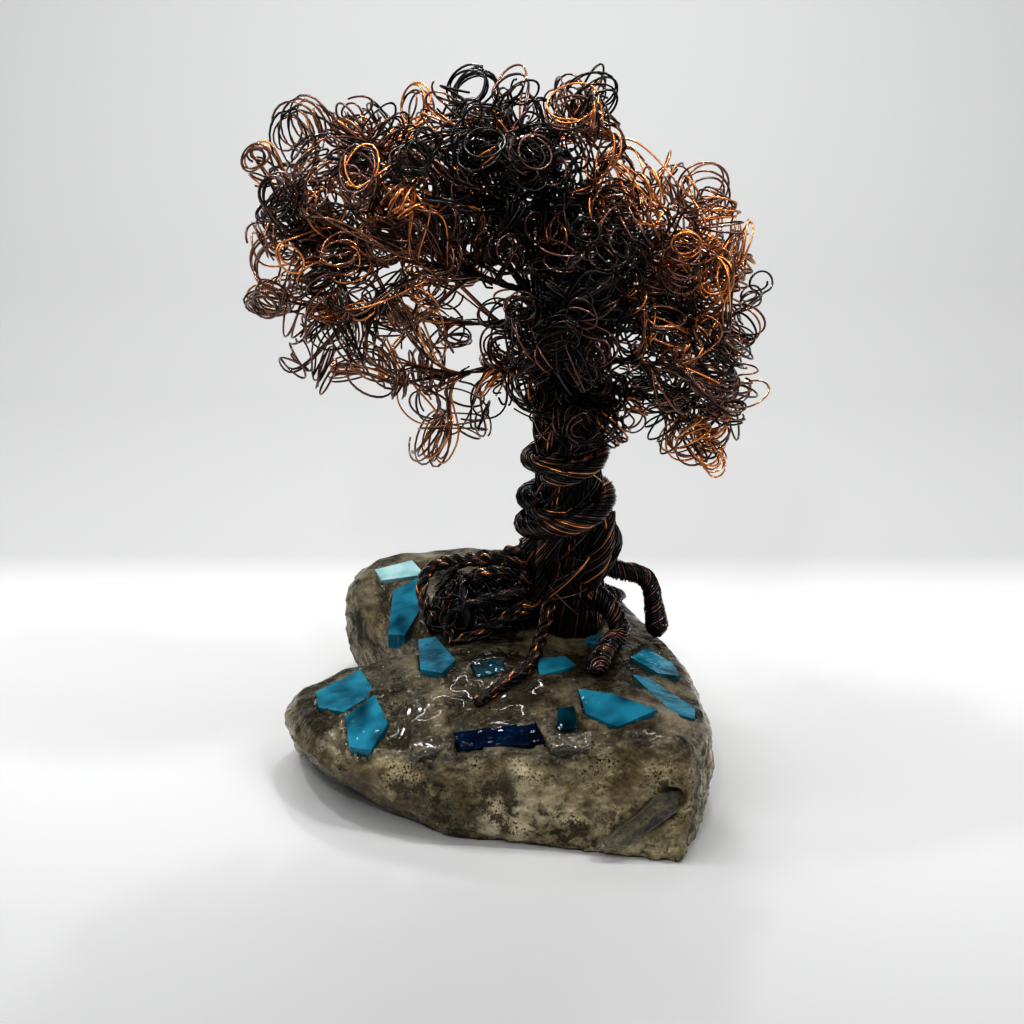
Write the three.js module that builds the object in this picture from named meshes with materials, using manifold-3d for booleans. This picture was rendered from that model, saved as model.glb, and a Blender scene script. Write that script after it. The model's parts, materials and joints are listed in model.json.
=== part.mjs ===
// Wire tree sculpture: a tree twisted from copper and bronze wire, set in a heart-shaped
// stone of cast cement with a clear glossy coat and chips of blue and clear glass.
// Millimetres, +Z up. The origin is the centre of the stone's flat underside.

import * as THREE from 'three';
import { mergeVertices } from 'three/addons/utils/BufferGeometryUtils.js';
import Module from 'manifold-3d';

const wasm = await Module();
wasm.setup();

// Clearance between neighbouring pieces.
const GAP = 0.3;

// The stone. Points of its outlines are hundredths of STONE_SPAN from the origin, and
// rim heights are hundredths of STONE_HEIGHT.
const STONE_SPAN = 140;
const STONE_HEIGHT = 39;
const RIM_ROUNDING = 4;
const STONE_ROUGHNESS = 0.7;
const STONE_SECTORS = 50;
const RIM = [
  [41, -42, 92], [30.7, -41.4, 86], [15.7, -40.7, 80], [0, -40.7, 73], [-12, -40.7, 68],
  [-23, -37, 63], [-34, -33, 59], [-43.6, -23.6, 55], [-48.6, -12, 53], [-49.3, -1.4, 50],
  [-43.6, 3.6, 50], [-33.6, 3.6, 53], [-23, 7, 60], [-28.6, 17, 72], [-36.4, 27, 82],
  [-38, 38, 90], [-32, 46.4, 98], [-18.6, 50.7, 100], [0, 50.7, 98], [15.7, 45.7, 92],
  [28.6, 34.3, 86], [37, 17, 80], [44.3, 0, 75], [47, -17, 75], [45.7, -32, 84],
];
const FOOT = [
  [39.3, -48.6], [30, -47], [17, -44.3], [1.4, -40.7], [-11.4, -38.6],
  [-20.7, -31.4], [-29.3, -23.6], [-37, -15.7], [-43, -8.6], [-45, -1.4],
  [-41.4, 2.9], [-32, 5], [-23.6, 9.3], [-27, 18], [-33.6, 28.6],
  [-35.7, 38], [-30.7, 45], [-18, 49.3], [0, 50], [15.7, 45.7],
  [28.6, 35], [38, 18], [44.3, 0], [46.4, -20], [43.6, -37],
];
const MOUND_CENTRE = [5.7, -1.4];

// Glass chips set in the stone.
const CHIP_DEPTH = 4.5;
const CHIP_PROUD = 0.7;
const CHIP_SLOPE = 0.5;
const WALL_CHIP_DEPTH = 1.5;
const WALL_CHIP_PROUD = 3;
const BLUE = 0x1b7d9c;
const DEEP_BLUE = 0x0d2f5e;
const TEAL = 0x0f5668;
const AQUA = 0x9fdde2;
const CLEAR = 0xd9e6e2;
const CHIPS = [
  ['chip_aqua_rear', AQUA, [[-31, 37], [-22, 41], [-18.5, 33], [-29, 31]]],
  ['chip_blue_rear_left', BLUE, [[-26, 26], [-20, 28], [-18.5, 18], [-22.5, 10], [-26.5, 12]]],
  ['chip_blue_notch', BLUE, [[-19, 4], [-15, 4], [-10, -8], [-13, -13], [-18, -10]]],
  ['chip_blue_lobe', BLUE, [[-42, -9], [-32, -5], [-28, -15], [-35, -19], [-41, -15]]],
  ['chip_blue_lobe_front', BLUE, [[-34.5, -21], [-28, -17.5], [-24.5, -27], [-28, -33], [-33, -30]]],
  ['chip_navy_front', DEEP_BLUE, [[-10, -32], [8, -31], [10, -36.5], [-8, -37]]],
  ['chip_blue_middle', BLUE, [[8.5, -8.5], [15, -8], [17.5, -12], [9, -15.5]]],
  ['chip_blue_by_trunk', BLUE, [[21.1, 4], [23.9, 6], [25.7, 2.9], [23.6, -0.7], [19.5, -0.5]]],
  ['chip_blue_right', BLUE, [[30, -4], [34.5, 4.5], [40.5, -3], [41, -9], [36, -10]]],
  ['chip_blue_right_edge', BLUE, [[30, -12.5], [34, -12], [43.5, -23], [43, -28.5], [38, -28]]],
  ['chip_blue_front_right', BLUE, [[17.5, -21], [25, -24], [34.5, -31], [25.5, -34.5], [19, -29]]],
  ['chip_teal_front', TEAL, [[13, -27.5], [16.5, -27], [17, -33.5], [12.5, -34]]],
  ['chip_teal_middle', TEAL, [[-6.5, -9.5], [0.5, -8], [1, -13], [-5, -15.5]]],
  ['chip_clear_front', CLEAR, [[10, -35.5], [20, -35.5], [20, -39], [11.5, -39]]],
  ['chip_clear_front_left', CLEAR, [[-19, -32.5], [-13, -32], [-12.5, -36], [-18, -36.5]]],
];
// A clear chip on the front wall: its outline seen from the front, in hundredths of
// STONE_SPAN across and of STONE_HEIGHT upwards.
const WALL_CHIP = [[21, 11], [34, 52], [38.5, 54], [38.5, 42], [26.5, 11]];

// The trunk, a column of wires twisted together.
const TRUNK_PLACE = [16.4, 10.7];
const TRUNK_DIAMETER = 21;
const TRUNK_TIP_DIAMETER = 9;
const TRUNK_HEIGHT = 136;
const TRUNK_LEAN = -7;
const TRUNK_SET_IN = 3;
const TRUNK_STRANDS = 8;
const TRUNK_STRAND_RELIEF = 0.9;
const TRUNK_TURNS = 0.9;
const TRUNK_STEPS = 9;

// Bands of twisted wire bound round the trunk: height as a share of the trunk's, first
// bearing in degrees, and tilt and bulge as shares of the thickness.
const UPPER_THICKNESS = 4.8;
const LOWER_THICKNESS = 6.2;
const WRAPS = [
  { name: 'wrap_upper', height: 0.44, thickness: UPPER_THICKNESS, start: 215, tilt: 0.5, bulge: 0.1 },
  { name: 'wrap_lower', height: 0.315, thickness: LOWER_THICKNESS, start: 150, tilt: 0.42, bulge: 0.38 },
];
const WRAP_TURNS = 1.12;
const WRAP_STEPS = 16;

// A mass of tangled wire between the roots on the left: its middle and its half sizes in
// hundredths of STONE_SPAN.
const TANGLE_PLACE = [-3, 14];
const TANGLE_REACH = [13.6, 9.3, 9.3];

// Roots: thickness at the trunk and at the tip as shares of ROOT_THICKNESS, then points
// along the root in hundredths of STONE_SPAN, the third being the height over the stone.
const ROOT_THICKNESS = 6;
const ROOT_STEPS = 9;
const ROOTS = [
  ['root_rear_left', 1, 0.43, [
    [12, 10.7, 21.4], [1.4, 15, 15], [-6, 26, 7.9], [-16, 36, 0.9],
  ]],
  ['root_left', 0.93, 0.67, [
    [10, 11.5, 15.7], [-4, 18, 12.1], [-15, 23.5, 7.9],
    [-18.5, 18, 5], [-16, 9, 1.1],
  ]],
  ['root_left_low', 0.9, 0.67, [
    [11, 11, 11.4], [1, 13, 10.7], [-8, 14.5, 8.6],
    [-13, 9, 3.6], [-11, 4.5, 0.7],
  ]],
  ['root_front_left', 0.83, 0.63, [
    [11, 8, 8.6], [1.6, 5.5, 2.5], [-4.5, 4, 1.3], [-11, 2.6, 0.7],
  ]],
  ['root_front', 0.9, 0.67, [
    [13, 7.5, 12.1], [11, 2.5, 4.3], [8.6, -6, 1.7],
    [6, -13, 1], [-5, -24, 0.7],
  ]],
  ['root_front_right', 1.23, 1, [
    [18.5, 7, 12.1], [24, 6, 8.6], [28, 2.5, 3.6],
    [25, -3, 1.7], [21.5, -15, 1.1],
  ]],
  ['root_right', 1.17, 1, [
    [21, 10.5, 17.9], [28, 11, 15.7], [34, 13.5, 13.6],
    [36.5, 12, 7.1], [37, 8.5, 1.1],
  ]],
  ['root_rear', 1, 0.73, [[17, 15.5, 8.6], [19, 23, 5], [18.5, 31, 0.9]]],
  ['root_rear_right', 1, 0.7, [[21, 13.5, 7.9], [27, 20.5, 4.3], [29, 27.5, 0.7]]],
];

// The crown. Each bough is a stem of bundled wire that fans out into curling wires; one
// curling wire here stands for a lock of several thin ones.
const CROWN_LEFT = 103;
const CROWN_RIGHT = 64;
const CROWN_DEPTH = 60;
const CROWN_BELOW = 80;
const CROWN_ABOVE = 50;
const BOUGH_THICKNESS = 5.4;
const BOUGH_TIP_THICKNESS = 2.6;
const WIRE_THICKNESS = 3.4;
const WIRE_STEPS = 10;
const WIRE_SHORTEST = 18;
const WIRE_LONGEST = 33;
const WIRE_SPREAD = 0.75;
const CURL_DIAMETER = 13;
const CURL_TURN = [3.4, 4.9];
const WIRES_PER_BOUGH = 3;
const WIRE_TRIES = 400;
// Name, height of the fork as a share of the trunk's, bearing in degrees (0 right, 90 to
// the rear), and the stem's end as shares of the crown's reach and of its height. The
// crown's height runs from CROWN_BELOW under the trunk's top to CROWN_ABOVE over it.
const BOUGHS = [
  ['bough_left_skirt', 0.684, 192, 0.56, 0.24],
  ['bough_left_low', 0.735, 177, 0.76, 0.4],
  ['bough_left_front', 0.779, 222, 0.68, 0.6],
  ['bough_left_rear', 0.824, 138, 0.84, 0.64],
  ['bough_left_outer', 0.868, 186, 0.8, 0.6],
  ['bough_left_high', 0.919, 172, 0.6, 0.8],
  ['bough_top_left', 0.963, 200, 0.3, 0.88],
  ['bough_top_rear', 0.934, 105, 0.52, 0.8],
  ['bough_top_right', 0.919, 15, 0.24, 0.8],
  ['bough_right_high', 0.816, 8, 0.62, 0.6],
  ['bough_right_middle', 0.713, 354, 0.72, 0.4],
  ['bough_right_low', 0.610, 8, 0.62, 0.16],
  ['bough_right_front', 0.669, 312, 0.76, 0.36],
  ['bough_right_rear', 0.684, 48, 0.82, 0.4],
  ['bough_front', 0.772, 264, 0.66, 0.48],
  ['bough_rear', 0.743, 92, 0.76, 0.46],
];

const COPPER = 0xa85a2a;
const BRONZE = 0x2b2220;
const BROWN = 0x4a3227;
const CEMENT = 0x8d8270;

// Repeatable random numbers.
let seed = 20417;
function random(low, high) {
  seed = (seed * 16807) % 2147483647;
  return low + ((high - low) * seed) / 2147483647;
}

function toSolid(geometry) {
  const bare = new THREE.BufferGeometry();
  bare.setAttribute('position', geometry.getAttribute('position'));
  bare.setIndex(geometry.getIndex());
  const merged = mergeVertices(bare, 1e-4);
  return new wasm.Manifold(new wasm.Mesh({
    numProp: 3,
    vertProperties: new Float32Array(merged.getAttribute('position').array),
    triVerts: new Uint32Array(merged.getIndex().array),
  }));
}

function toGeometry(solid) {
  const mesh = solid.getMesh();
  const geometry = new THREE.BufferGeometry();
  geometry.setAttribute('position', new THREE.BufferAttribute(mesh.vertProperties, 3));
  geometry.setIndex(new THREE.BufferAttribute(mesh.triVerts, 1));
  return geometry;
}

// The main body of a piece, without the slivers that a cut can leave beside it.
function mainBody(solid) {
  return solid.decompose().reduce((a, b) => (b.volume() > a.volume() ? b : a));
}

// A tube along a curve, swollen or tapered by a thickness that depends on the distance.
function tube(curve, steps, sides, thicknessAt) {
  const ring = new THREE.Shape();
  for (let side = 0; side < sides; side += 1) {
    const angle = (2 * Math.PI * side) / sides;
    const move = side === 0 ? 'moveTo' : 'lineTo';
    ring[move](Math.cos(angle), Math.sin(angle));
  }
  ring.closePath();
  const geometry = new THREE.ExtrudeGeometry(ring, { steps, extrudePath: curve, bevelEnabled: false });
  const centres = curve.getSpacedPoints(steps);
  const position = geometry.getAttribute('position');
  const vertex = new THREE.Vector3();
  for (let i = 0; i < position.count; i += 1) {
    vertex.fromBufferAttribute(position, i);
    let nearest = 0;
    for (let step = 1; step <= steps; step += 1) {
      const error = Math.abs(vertex.distanceTo(centres[step]) - 1);
      if (error < Math.abs(vertex.distanceTo(centres[nearest]) - 1) - 1e-7) {
        nearest = step;
      }
    }
    const centre = centres[nearest];
    vertex.sub(centre).multiplyScalar(thicknessAt(nearest / steps) / 2).add(centre);
    position.setXYZ(i, vertex.x, vertex.y, vertex.z);
  }
  return toSolid(geometry);
}

// One of the stone's outlines as a closed ring of points.
function outline(points, heightScale) {
  const corners = points.map(([x, y, z = 0]) => new THREE.Vector3(
    (x * STONE_SPAN) / 100,
    (y * STONE_SPAN) / 100,
    z * heightScale,
  ));
  const curve = new THREE.CatmullRomCurve3([...corners, corners[0].clone()]);
  const ring = [];
  for (let sector = 0; sector < STONE_SECTORS; sector += 1) {
    ring.push(curve.getPoint(sector / STONE_SECTORS));
  }
  return ring;
}

// A place given in hundredths of STONE_SPAN, in millimetres.
function onStone(point) {
  return new THREE.Vector2((point[0] * STONE_SPAN) / 100, (point[1] * STONE_SPAN) / 100);
}

const moundCentre = onStone(MOUND_CENTRE);

// Rings of points from the underside, up the wall and over the mound to its middle.
function stoneRings() {
  const rim = outline(RIM, STONE_HEIGHT / 100);
  const foot = outline(FOOT, 0);
  const middle = new THREE.Vector3(moundCentre.x, moundCentre.y, STONE_HEIGHT);
  const walls = [0, 0.18, 0.55, 1].map((share) => rim.map((point, sector) => {
    const bulge = 1 + 0.03 * Math.sin(Math.PI * share) + 0.012 * Math.sin(sector * 2.4 + share * 5);
    const wall = foot[sector].clone().lerp(point, share);
    const reach = share > 0 && share < 1 ? bulge : 1;
    const z = share * (point.z - RIM_ROUNDING);
    return new THREE.Vector3(
      middle.x + (wall.x - middle.x) * reach,
      middle.y + (wall.y - middle.y) * reach,
      z,
    );
  }));
  const tops = [0.94, 0.8, 0.6, 0.36].map((share) => rim.map((point, sector) => {
    const climb = 1 - share ** 2.2;
    const rough = STONE_ROUGHNESS * Math.sin(sector * 1.7 + share * 23) * share;
    return new THREE.Vector3(
      middle.x + (point.x - middle.x) * share,
      middle.y + (point.y - middle.y) * share,
      point.z + (STONE_HEIGHT - point.z) * climb + rough,
    );
  }));
  return { walls, tops, middle };
}

const stone = stoneRings();

function stoneSolid() {
  const rings = [...stone.walls, ...stone.tops];
  const positions = [];
  const index = [];
  rings.forEach((ring) => ring.forEach((point) => positions.push(point.x, point.y, point.z)));
  const top = positions.length / 3;
  positions.push(stone.middle.x, stone.middle.y, stone.middle.z);
  const base = top + 1;
  positions.push(stone.middle.x, stone.middle.y, 0);
  for (let sector = 0; sector < STONE_SECTORS; sector += 1) {
    const next = (sector + 1) % STONE_SECTORS;
    for (let ring = 0; ring < rings.length - 1; ring += 1) {
      const a = ring * STONE_SECTORS + sector;
      const b = ring * STONE_SECTORS + next;
      index.push(b, a, b + STONE_SECTORS, a, a + STONE_SECTORS, b + STONE_SECTORS);
    }
    const last = (rings.length - 1) * STONE_SECTORS;
    index.push(last + next, last + sector, top);
    index.push(sector, next, base);
  }
  const geometry = new THREE.BufferGeometry();
  geometry.setAttribute('position', new THREE.Float32BufferAttribute(positions, 3));
  geometry.setIndex(index);
  return toSolid(geometry);
}

// Height of the stone's upper surface, from the facet above the point.
const facets = [];
for (let sector = 0; sector < STONE_SECTORS; sector += 1) {
  const next = (sector + 1) % STONE_SECTORS;
  const rings = [stone.walls[stone.walls.length - 1], ...stone.tops];
  for (let ring = 0; ring < rings.length - 1; ring += 1) {
    facets.push([rings[ring][next], rings[ring][sector], rings[ring + 1][next]]);
    facets.push([rings[ring][sector], rings[ring + 1][sector], rings[ring + 1][next]]);
  }
  facets.push([rings[rings.length - 1][next], rings[rings.length - 1][sector], stone.middle]);
}

function stoneTop(x, y) {
  for (const [a, b, c] of facets) {
    const area = (b.x - a.x) * (c.y - a.y) - (c.x - a.x) * (b.y - a.y);
    const wb = ((x - a.x) * (c.y - a.y) - (c.x - a.x) * (y - a.y)) / area;
    const wc = ((b.x - a.x) * (y - a.y) - (x - a.x) * (b.y - a.y)) / area;
    if (wb >= -1e-6 && wc >= -1e-6 && wb + wc <= 1 + 1e-6) {
      return a.z + wb * (b.z - a.z) + wc * (c.z - a.z);
    }
  }
  return 0;
}

// A chip is a prism whose top follows the slope of the stone; the pocket for it is wider
// and deeper by the clearance, and open upwards.
function chipSolid(points, pocket) {
  const corners = points.map(onStone);
  const centre = new THREE.Vector2();
  corners.forEach((corner) => centre.addScaledVector(corner, 1 / corners.length));
  const probe = CHIP_DEPTH / 1.5;
  const height = stoneTop(centre.x, centre.y);
  const rise = (dx, dy) => stoneTop(centre.x + dx, centre.y + dy) - stoneTop(centre.x - dx, centre.y - dy);
  const slope = (change) => THREE.MathUtils.clamp(change / (2 * probe), -CHIP_SLOPE, CHIP_SLOPE);
  const slopeX = slope(rise(probe, 0));
  const slopeY = slope(rise(0, probe));
  const inside = Math.min(...corners.map((corner, i) => {
    const next = corners[(i + 1) % corners.length];
    const edge = next.clone().sub(corner);
    return Math.abs(edge.cross(centre.clone().sub(corner))) / edge.length();
  }));
  const grow = pocket ? (inside + 1.3 * GAP) / inside : 1;
  const shape = new THREE.Shape(corners.map((corner) => corner.sub(centre).multiplyScalar(grow)));
  const geometry = new THREE.ExtrudeGeometry(shape, { depth: 1, steps: 1, bevelEnabled: false });
  const position = geometry.getAttribute('position');
  const bottom = pocket ? -CHIP_DEPTH - GAP : -CHIP_DEPTH;
  const top = pocket ? 3 * CHIP_DEPTH : CHIP_PROUD;
  for (let i = 0; i < position.count; i += 1) {
    const x = position.getX(i);
    const y = position.getY(i);
    const lift = THREE.MathUtils.lerp(bottom, top, position.getZ(i));
    position.setXYZ(i, x + centre.x, y + centre.y, height + slopeX * x + slopeY * y + lift);
  }
  return toSolid(geometry);
}

// Where the stone's front wall stands, at a place along it and a share of its height.
function frontWall(x) {
  const foot = stone.walls[0];
  const rim = stone.walls[stone.walls.length - 1];
  let nearest = 0;
  for (let sector = 1; sector < STONE_SECTORS; sector += 1) {
    const closer = Math.abs(foot[sector].x - x) < Math.abs(foot[nearest].x - x);
    if (foot[sector].y < moundCentre.y && closer) {
      nearest = sector;
    }
  }
  return { foot: foot[nearest], rim: rim[nearest] };
}

function wallChipSolid(pocket) {
  const corners = WALL_CHIP.map(([x, z]) => (
    new THREE.Vector2((x * STONE_SPAN) / 100, (z * STONE_HEIGHT) / 100)
  ));
  const centre = new THREE.Vector2();
  corners.forEach((corner) => centre.addScaledVector(corner, 1 / corners.length));
  const { foot, rim } = frontWall(centre.x);
  const lean = (rim.y - foot.y) / rim.z;
  const grow = pocket ? 1.25 : 1;
  const shape = new THREE.Shape(corners.map((corner) => corner.clone().sub(centre).multiplyScalar(grow)));
  const geometry = new THREE.ExtrudeGeometry(shape, { depth: 1, steps: 1, bevelEnabled: false });
  const position = geometry.getAttribute('position');
  const inner = WALL_CHIP_DEPTH + (pocket ? GAP : 0);
  const outer = pocket ? -3 * WALL_CHIP_DEPTH : -WALL_CHIP_PROUD;
  for (let i = 0; i < position.count; i += 1) {
    const x = position.getX(i) + centre.x;
    const z = position.getY(i) + centre.y;
    const y = foot.y + lean * z + THREE.MathUtils.lerp(inner, outer, position.getZ(i));
    position.setXYZ(i, x, y, z);
  }
  return toSolid(geometry);
}

// The trunk: a lobed column, one lobe for each strand, twisted and tapered as it climbs.
const trunkFoot = onStone(TRUNK_PLACE);
const trunkBase = stoneTop(trunkFoot.x, trunkFoot.y);

function trunkAxis(height) {
  const share = THREE.MathUtils.clamp(height / TRUNK_HEIGHT, 0, 1);
  return new THREE.Vector3(trunkFoot.x + TRUNK_LEAN * share ** 2, trunkFoot.y, trunkBase + height);
}

function trunkRadius(height) {
  const share = THREE.MathUtils.clamp(height / TRUNK_HEIGHT, 0, 1);
  return THREE.MathUtils.lerp(TRUNK_DIAMETER, TRUNK_TIP_DIAMETER, share ** 2.5) / 2;
}

function trunkSolid(sides, strandRelief, clearance) {
  const circle = new THREE.Shape();
  for (let side = 0; side < sides; side += 1) {
    const angle = (2 * Math.PI * side) / sides;
    const move = side === 0 ? 'moveTo' : 'lineTo';
    circle[move](Math.cos(angle), Math.sin(angle));
  }
  circle.closePath();
  const length = TRUNK_HEIGHT + TRUNK_SET_IN;
  const geometry = new THREE.ExtrudeGeometry(circle, { depth: 1, steps: TRUNK_STEPS, bevelEnabled: false });
  const position = geometry.getAttribute('position');
  for (let i = 0; i < position.count; i += 1) {
    const share = position.getZ(i);
    const angle = Math.atan2(position.getY(i), position.getX(i));
    const height = share * length - TRUNK_SET_IN;
    const relief = strandRelief * (Math.cos(TRUNK_STRANDS * angle) - 1);
    const radius = trunkRadius(height) + relief + clearance;
    const turned = angle + 2 * Math.PI * TRUNK_TURNS * share;
    const axis = trunkAxis(height);
    position.setXYZ(
      i,
      axis.x + radius * Math.cos(turned),
      axis.y + radius * Math.sin(turned),
      trunkBase + height + (share > 0.5 ? clearance : -clearance),
    );
  }
  return toSolid(geometry);
}

// A band wound round the trunk, clear of its lobes, that can bulge to the right.
function wrapCurve(wrap) {
  const points = [];
  for (let i = 0; i <= WRAP_STEPS; i += 1) {
    const share = i / WRAP_STEPS;
    const angle = THREE.MathUtils.degToRad(wrap.start + 360 * WRAP_TURNS * share);
    const height = wrap.height * TRUNK_HEIGHT + wrap.tilt * wrap.thickness * Math.cos(angle);
    const axis = trunkAxis(height);
    const sides = Math.abs(Math.cos(angle + 0.2)) ** 3;
    const radius = trunkRadius(height) + wrap.thickness / 2 + GAP + wrap.bulge * wrap.thickness * sides;
    points.push(new THREE.Vector3(
      axis.x + radius * Math.cos(angle),
      axis.y + radius * Math.sin(angle),
      axis.z + wrap.thickness * 1.1 * (share - 0.5),
    ));
  }
  return new THREE.CatmullRomCurve3(points);
}

// A root runs along the stone, each of its points lifted over the surface below it.
function rootCurve(points) {
  return new THREE.CatmullRomCurve3(points.map((point) => {
    const place = onStone(point);
    const lift = (point[2] * STONE_SPAN) / 100;
    return new THREE.Vector3(place.x, place.y, stoneTop(place.x, place.y) + lift);
  }));
}

function rootSolid([, thick, thin, points], clearance) {
  const thickness = (share) => ROOT_THICKNESS * THREE.MathUtils.lerp(thick, thin, share) + 2 * clearance;
  return tube(rootCurve(points), ROOT_STEPS, 6, thickness);
}

// The tangle is a flattened ball that rests on the stone.
function tangleSolid(clearance) {
  const place = onStone(TANGLE_PLACE);
  const [x, y, z] = TANGLE_REACH.map((reach) => (reach * STONE_SPAN) / 100 + clearance);
  const geometry = new THREE.SphereGeometry(1, 10, 7);
  geometry.rotateX(Math.PI / 2);
  geometry.scale(x, y, z);
  geometry.translate(place.x, place.y, stoneTop(place.x, place.y));
  return toSolid(geometry);
}

// Height of a place in the crown, from its share of the crown's height.
function crownHeight(share) {
  return trunkBase + TRUNK_HEIGHT + THREE.MathUtils.lerp(-CROWN_BELOW, CROWN_ABOVE, share);
}

// Boughs: the stem first, so that every curling wire can be kept clear of every stem.
function boughStem([, fork, bearing, reach, rise]) {
  const angle = THREE.MathUtils.degToRad(bearing);
  const width = Math.cos(angle) < 0 ? CROWN_LEFT : CROWN_RIGHT;
  const start = trunkAxis(fork * TRUNK_HEIGHT);
  const out = new THREE.Vector3(width * Math.cos(angle), CROWN_DEPTH * Math.sin(angle), 0);
  const end = trunkAxis(0).addScaledVector(out, reach);
  end.z = crownHeight(rise);
  const bend = start.clone().lerp(end, 0.45);
  bend.z = Math.max(bend.z, end.z * 0.75 + start.z * 0.25);
  return new THREE.QuadraticBezierCurve3(start, bend, end);
}

function samples(curve, count, radius) {
  return curve.getSpacedPoints(count).map((point) => ({ point, radius }));
}

function clearOf(candidate, others) {
  return candidate.every((a) => others.every((b) => (
    a.point.distanceTo(b.point) > a.radius + b.radius + 2 * GAP
  )));
}

// A wire that leaves the outer half of the stem, droops and ends in a curl. Each wire of a
// bough has its own stretch of the stem.
function curlingWire(stem, outward, number) {
  const share = THREE.MathUtils.lerp(0.5, 1, (number + random(0.4, 1)) / WIRES_PER_BOUGH);
  const start = stem.getPoint(share);
  const heading = stem.getTangent(share);
  const spread = new THREE.Vector3(random(-1, 1), random(-1, 1), random(-0.9, 0.9));
  heading.add(outward).multiplyScalar(0.5).addScaledVector(spread, WIRE_SPREAD).normalize();
  const length = random(WIRE_SHORTEST, WIRE_LONGEST);
  const droop = new THREE.Vector3(0, 0, -random(0, length / 5));
  const side = new THREE.Vector3(random(-1, 1), random(-1, 1), random(-1, 1)).cross(heading).normalize();
  const points = [start];
  points.push(start.clone().addScaledVector(heading, length * 0.5).addScaledVector(side, length / 10));
  const tip = start.clone().addScaledVector(heading, length).add(droop);
  points.push(tip);
  const radius = (CURL_DIAMETER / 2) * random(0.75, 1.15);
  const turn = random(...CURL_TURN);
  for (let i = 1; i <= 5; i += 1) {
    const angle = (turn * i) / 5;
    const curl = tip.clone()
      .addScaledVector(heading, radius * Math.sin(angle))
      .addScaledVector(side, -radius * (1 - Math.cos(angle)));
    points.push(curl);
  }
  return new THREE.CatmullRomCurve3(points);
}

// Whether a point lies in the crown's outline, lower on the right and rounded above.
function insideCrown(point) {
  const axis = trunkAxis(0);
  const x = (point.x - axis.x) / (point.x < axis.x ? CROWN_LEFT : CROWN_RIGHT);
  const y = (point.y - axis.y) / CROWN_DEPTH;
  const foot = crownHeight(0);
  const top = crownHeight(1);
  const slant = point.x > axis.x ? 0.42 * x : 0;
  const z = (point.z - foot) / (top - foot);
  return Math.hypot(x, y) < 1 && z > 0 && z < 1 - slant - 0.25 * x * x;
}

// A named piece with its own material.
function add(name, solid, colour, roughness, metalness, opacity = 1) {
  const material = new THREE.MeshStandardMaterial({
    color: colour,
    roughness,
    metalness,
    opacity,
    transparent: opacity < 1,
  });
  const mesh = new THREE.Mesh(toGeometry(mainBody(solid)), material);
  mesh.name = name;
  return mesh;
}

// Roots, trunk and tangle first, because the stone and the chips are cut to make room for
// them. The room that the trunk takes is a plain column round its strands.
const ROOM_SIDES = 10;
const flatness = trunkRadius(0) * (1 - Math.cos(Math.PI / ROOM_SIDES));
const trunkRoom = trunkSolid(ROOM_SIDES, 0, GAP + flatness);
let stoneCut = stoneSolid();
const wires = new THREE.Group();
let wood = trunkRoom;
for (const root of ROOTS) {
  const solid = rootSolid(root, 0).subtract(wood);
  stoneCut = stoneCut.subtract(rootSolid(root, GAP));
  wood = wood.add(rootSolid(root, GAP));
  wires.add(add(root[0], solid, BROWN, 0.42, 0.8));
}
stoneCut = stoneCut.subtract(trunkRoom);
const tangle = tangleSolid(0).subtract(wood);
stoneCut = stoneCut.subtract(tangleSolid(GAP));
wires.add(add('root_tangle', tangle, BROWN, 0.42, 0.8));
wood = wood.add(tangleSolid(GAP));

// Chips and their pockets.
const chips = new THREE.Group();
for (const [name, colour, points] of CHIPS) {
  stoneCut = stoneCut.subtract(chipSolid(points, true));
  chips.add(add(name, chipSolid(points, false).subtract(wood), colour, 0.05, 0, 0.5));
}
stoneCut = stoneCut.subtract(wallChipSolid(true));
chips.add(add('chip_clear_wall', wallChipSolid(false), CLEAR, 0.05, 0, 0.4));

wires.add(add('trunk', trunkSolid(3 * TRUNK_STRANDS, TRUNK_STRAND_RELIEF, 0), BROWN, 0.42, 0.8));
for (const wrap of WRAPS) {
  const solid = tube(wrapCurve(wrap), WRAP_STEPS, 6, () => wrap.thickness);
  wires.add(add(wrap.name, solid, BROWN, 0.42, 0.8));
}

// The boughs, each with its curling wires clear of all that is already there.
const stems = BOUGHS.map(boughStem);
const occupied = stems.map((stem) => samples(stem, 24, BOUGH_THICKNESS / 2));
const trunkLine = new THREE.LineCurve3(trunkAxis(TRUNK_HEIGHT / 3), trunkAxis(TRUNK_HEIGHT));
const trunkSamples = samples(trunkLine, 30, trunkRadius(0));
const crown = new THREE.Group();
BOUGHS.forEach((bough, number) => {
  const stem = stems[number];
  const thickness = (share) => THREE.MathUtils.lerp(BOUGH_THICKNESS, BOUGH_TIP_THICKNESS, share);
  let solid = tube(stem, 5, 5, thickness).subtract(trunkRoom);
  const end = stem.getPoint(1);
  const outward = end.clone().sub(trunkAxis(end.z - trunkBase)).normalize();
  const others = occupied.filter((_, other) => other !== number).flat();
  const taken = [...others, ...trunkSamples];
  let made = 0;
  for (let attempt = 0; attempt < WIRE_TRIES && made < WIRES_PER_BOUGH; attempt += 1) {
    const wire = curlingWire(stem, outward, made);
    const own = samples(wire, 40, WIRE_THICKNESS / 2);
    const fits = own.every(({ point }) => insideCrown(point));
    const loose = own.filter(({ point }) => point.distanceTo(own[0].point) > BOUGH_THICKNESS);
    if (fits && clearOf(own, taken) && clearOf(loose, occupied[number])) {
      solid = solid.add(tube(wire, WIRE_STEPS, 3, () => WIRE_THICKNESS));
      occupied[number].push(...own);
      made += 1;
    }
  }
  crown.add(add(bough[0], solid, number % 4 === 3 ? COPPER : BRONZE, 0.4, 0.85));
});

const base = new THREE.Group();
base.add(add('stone_heart', stoneCut, CEMENT, 0.3, 0));
base.add(chips);

const tree = new THREE.Group();
tree.add(wires);
tree.add(crown);

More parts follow.
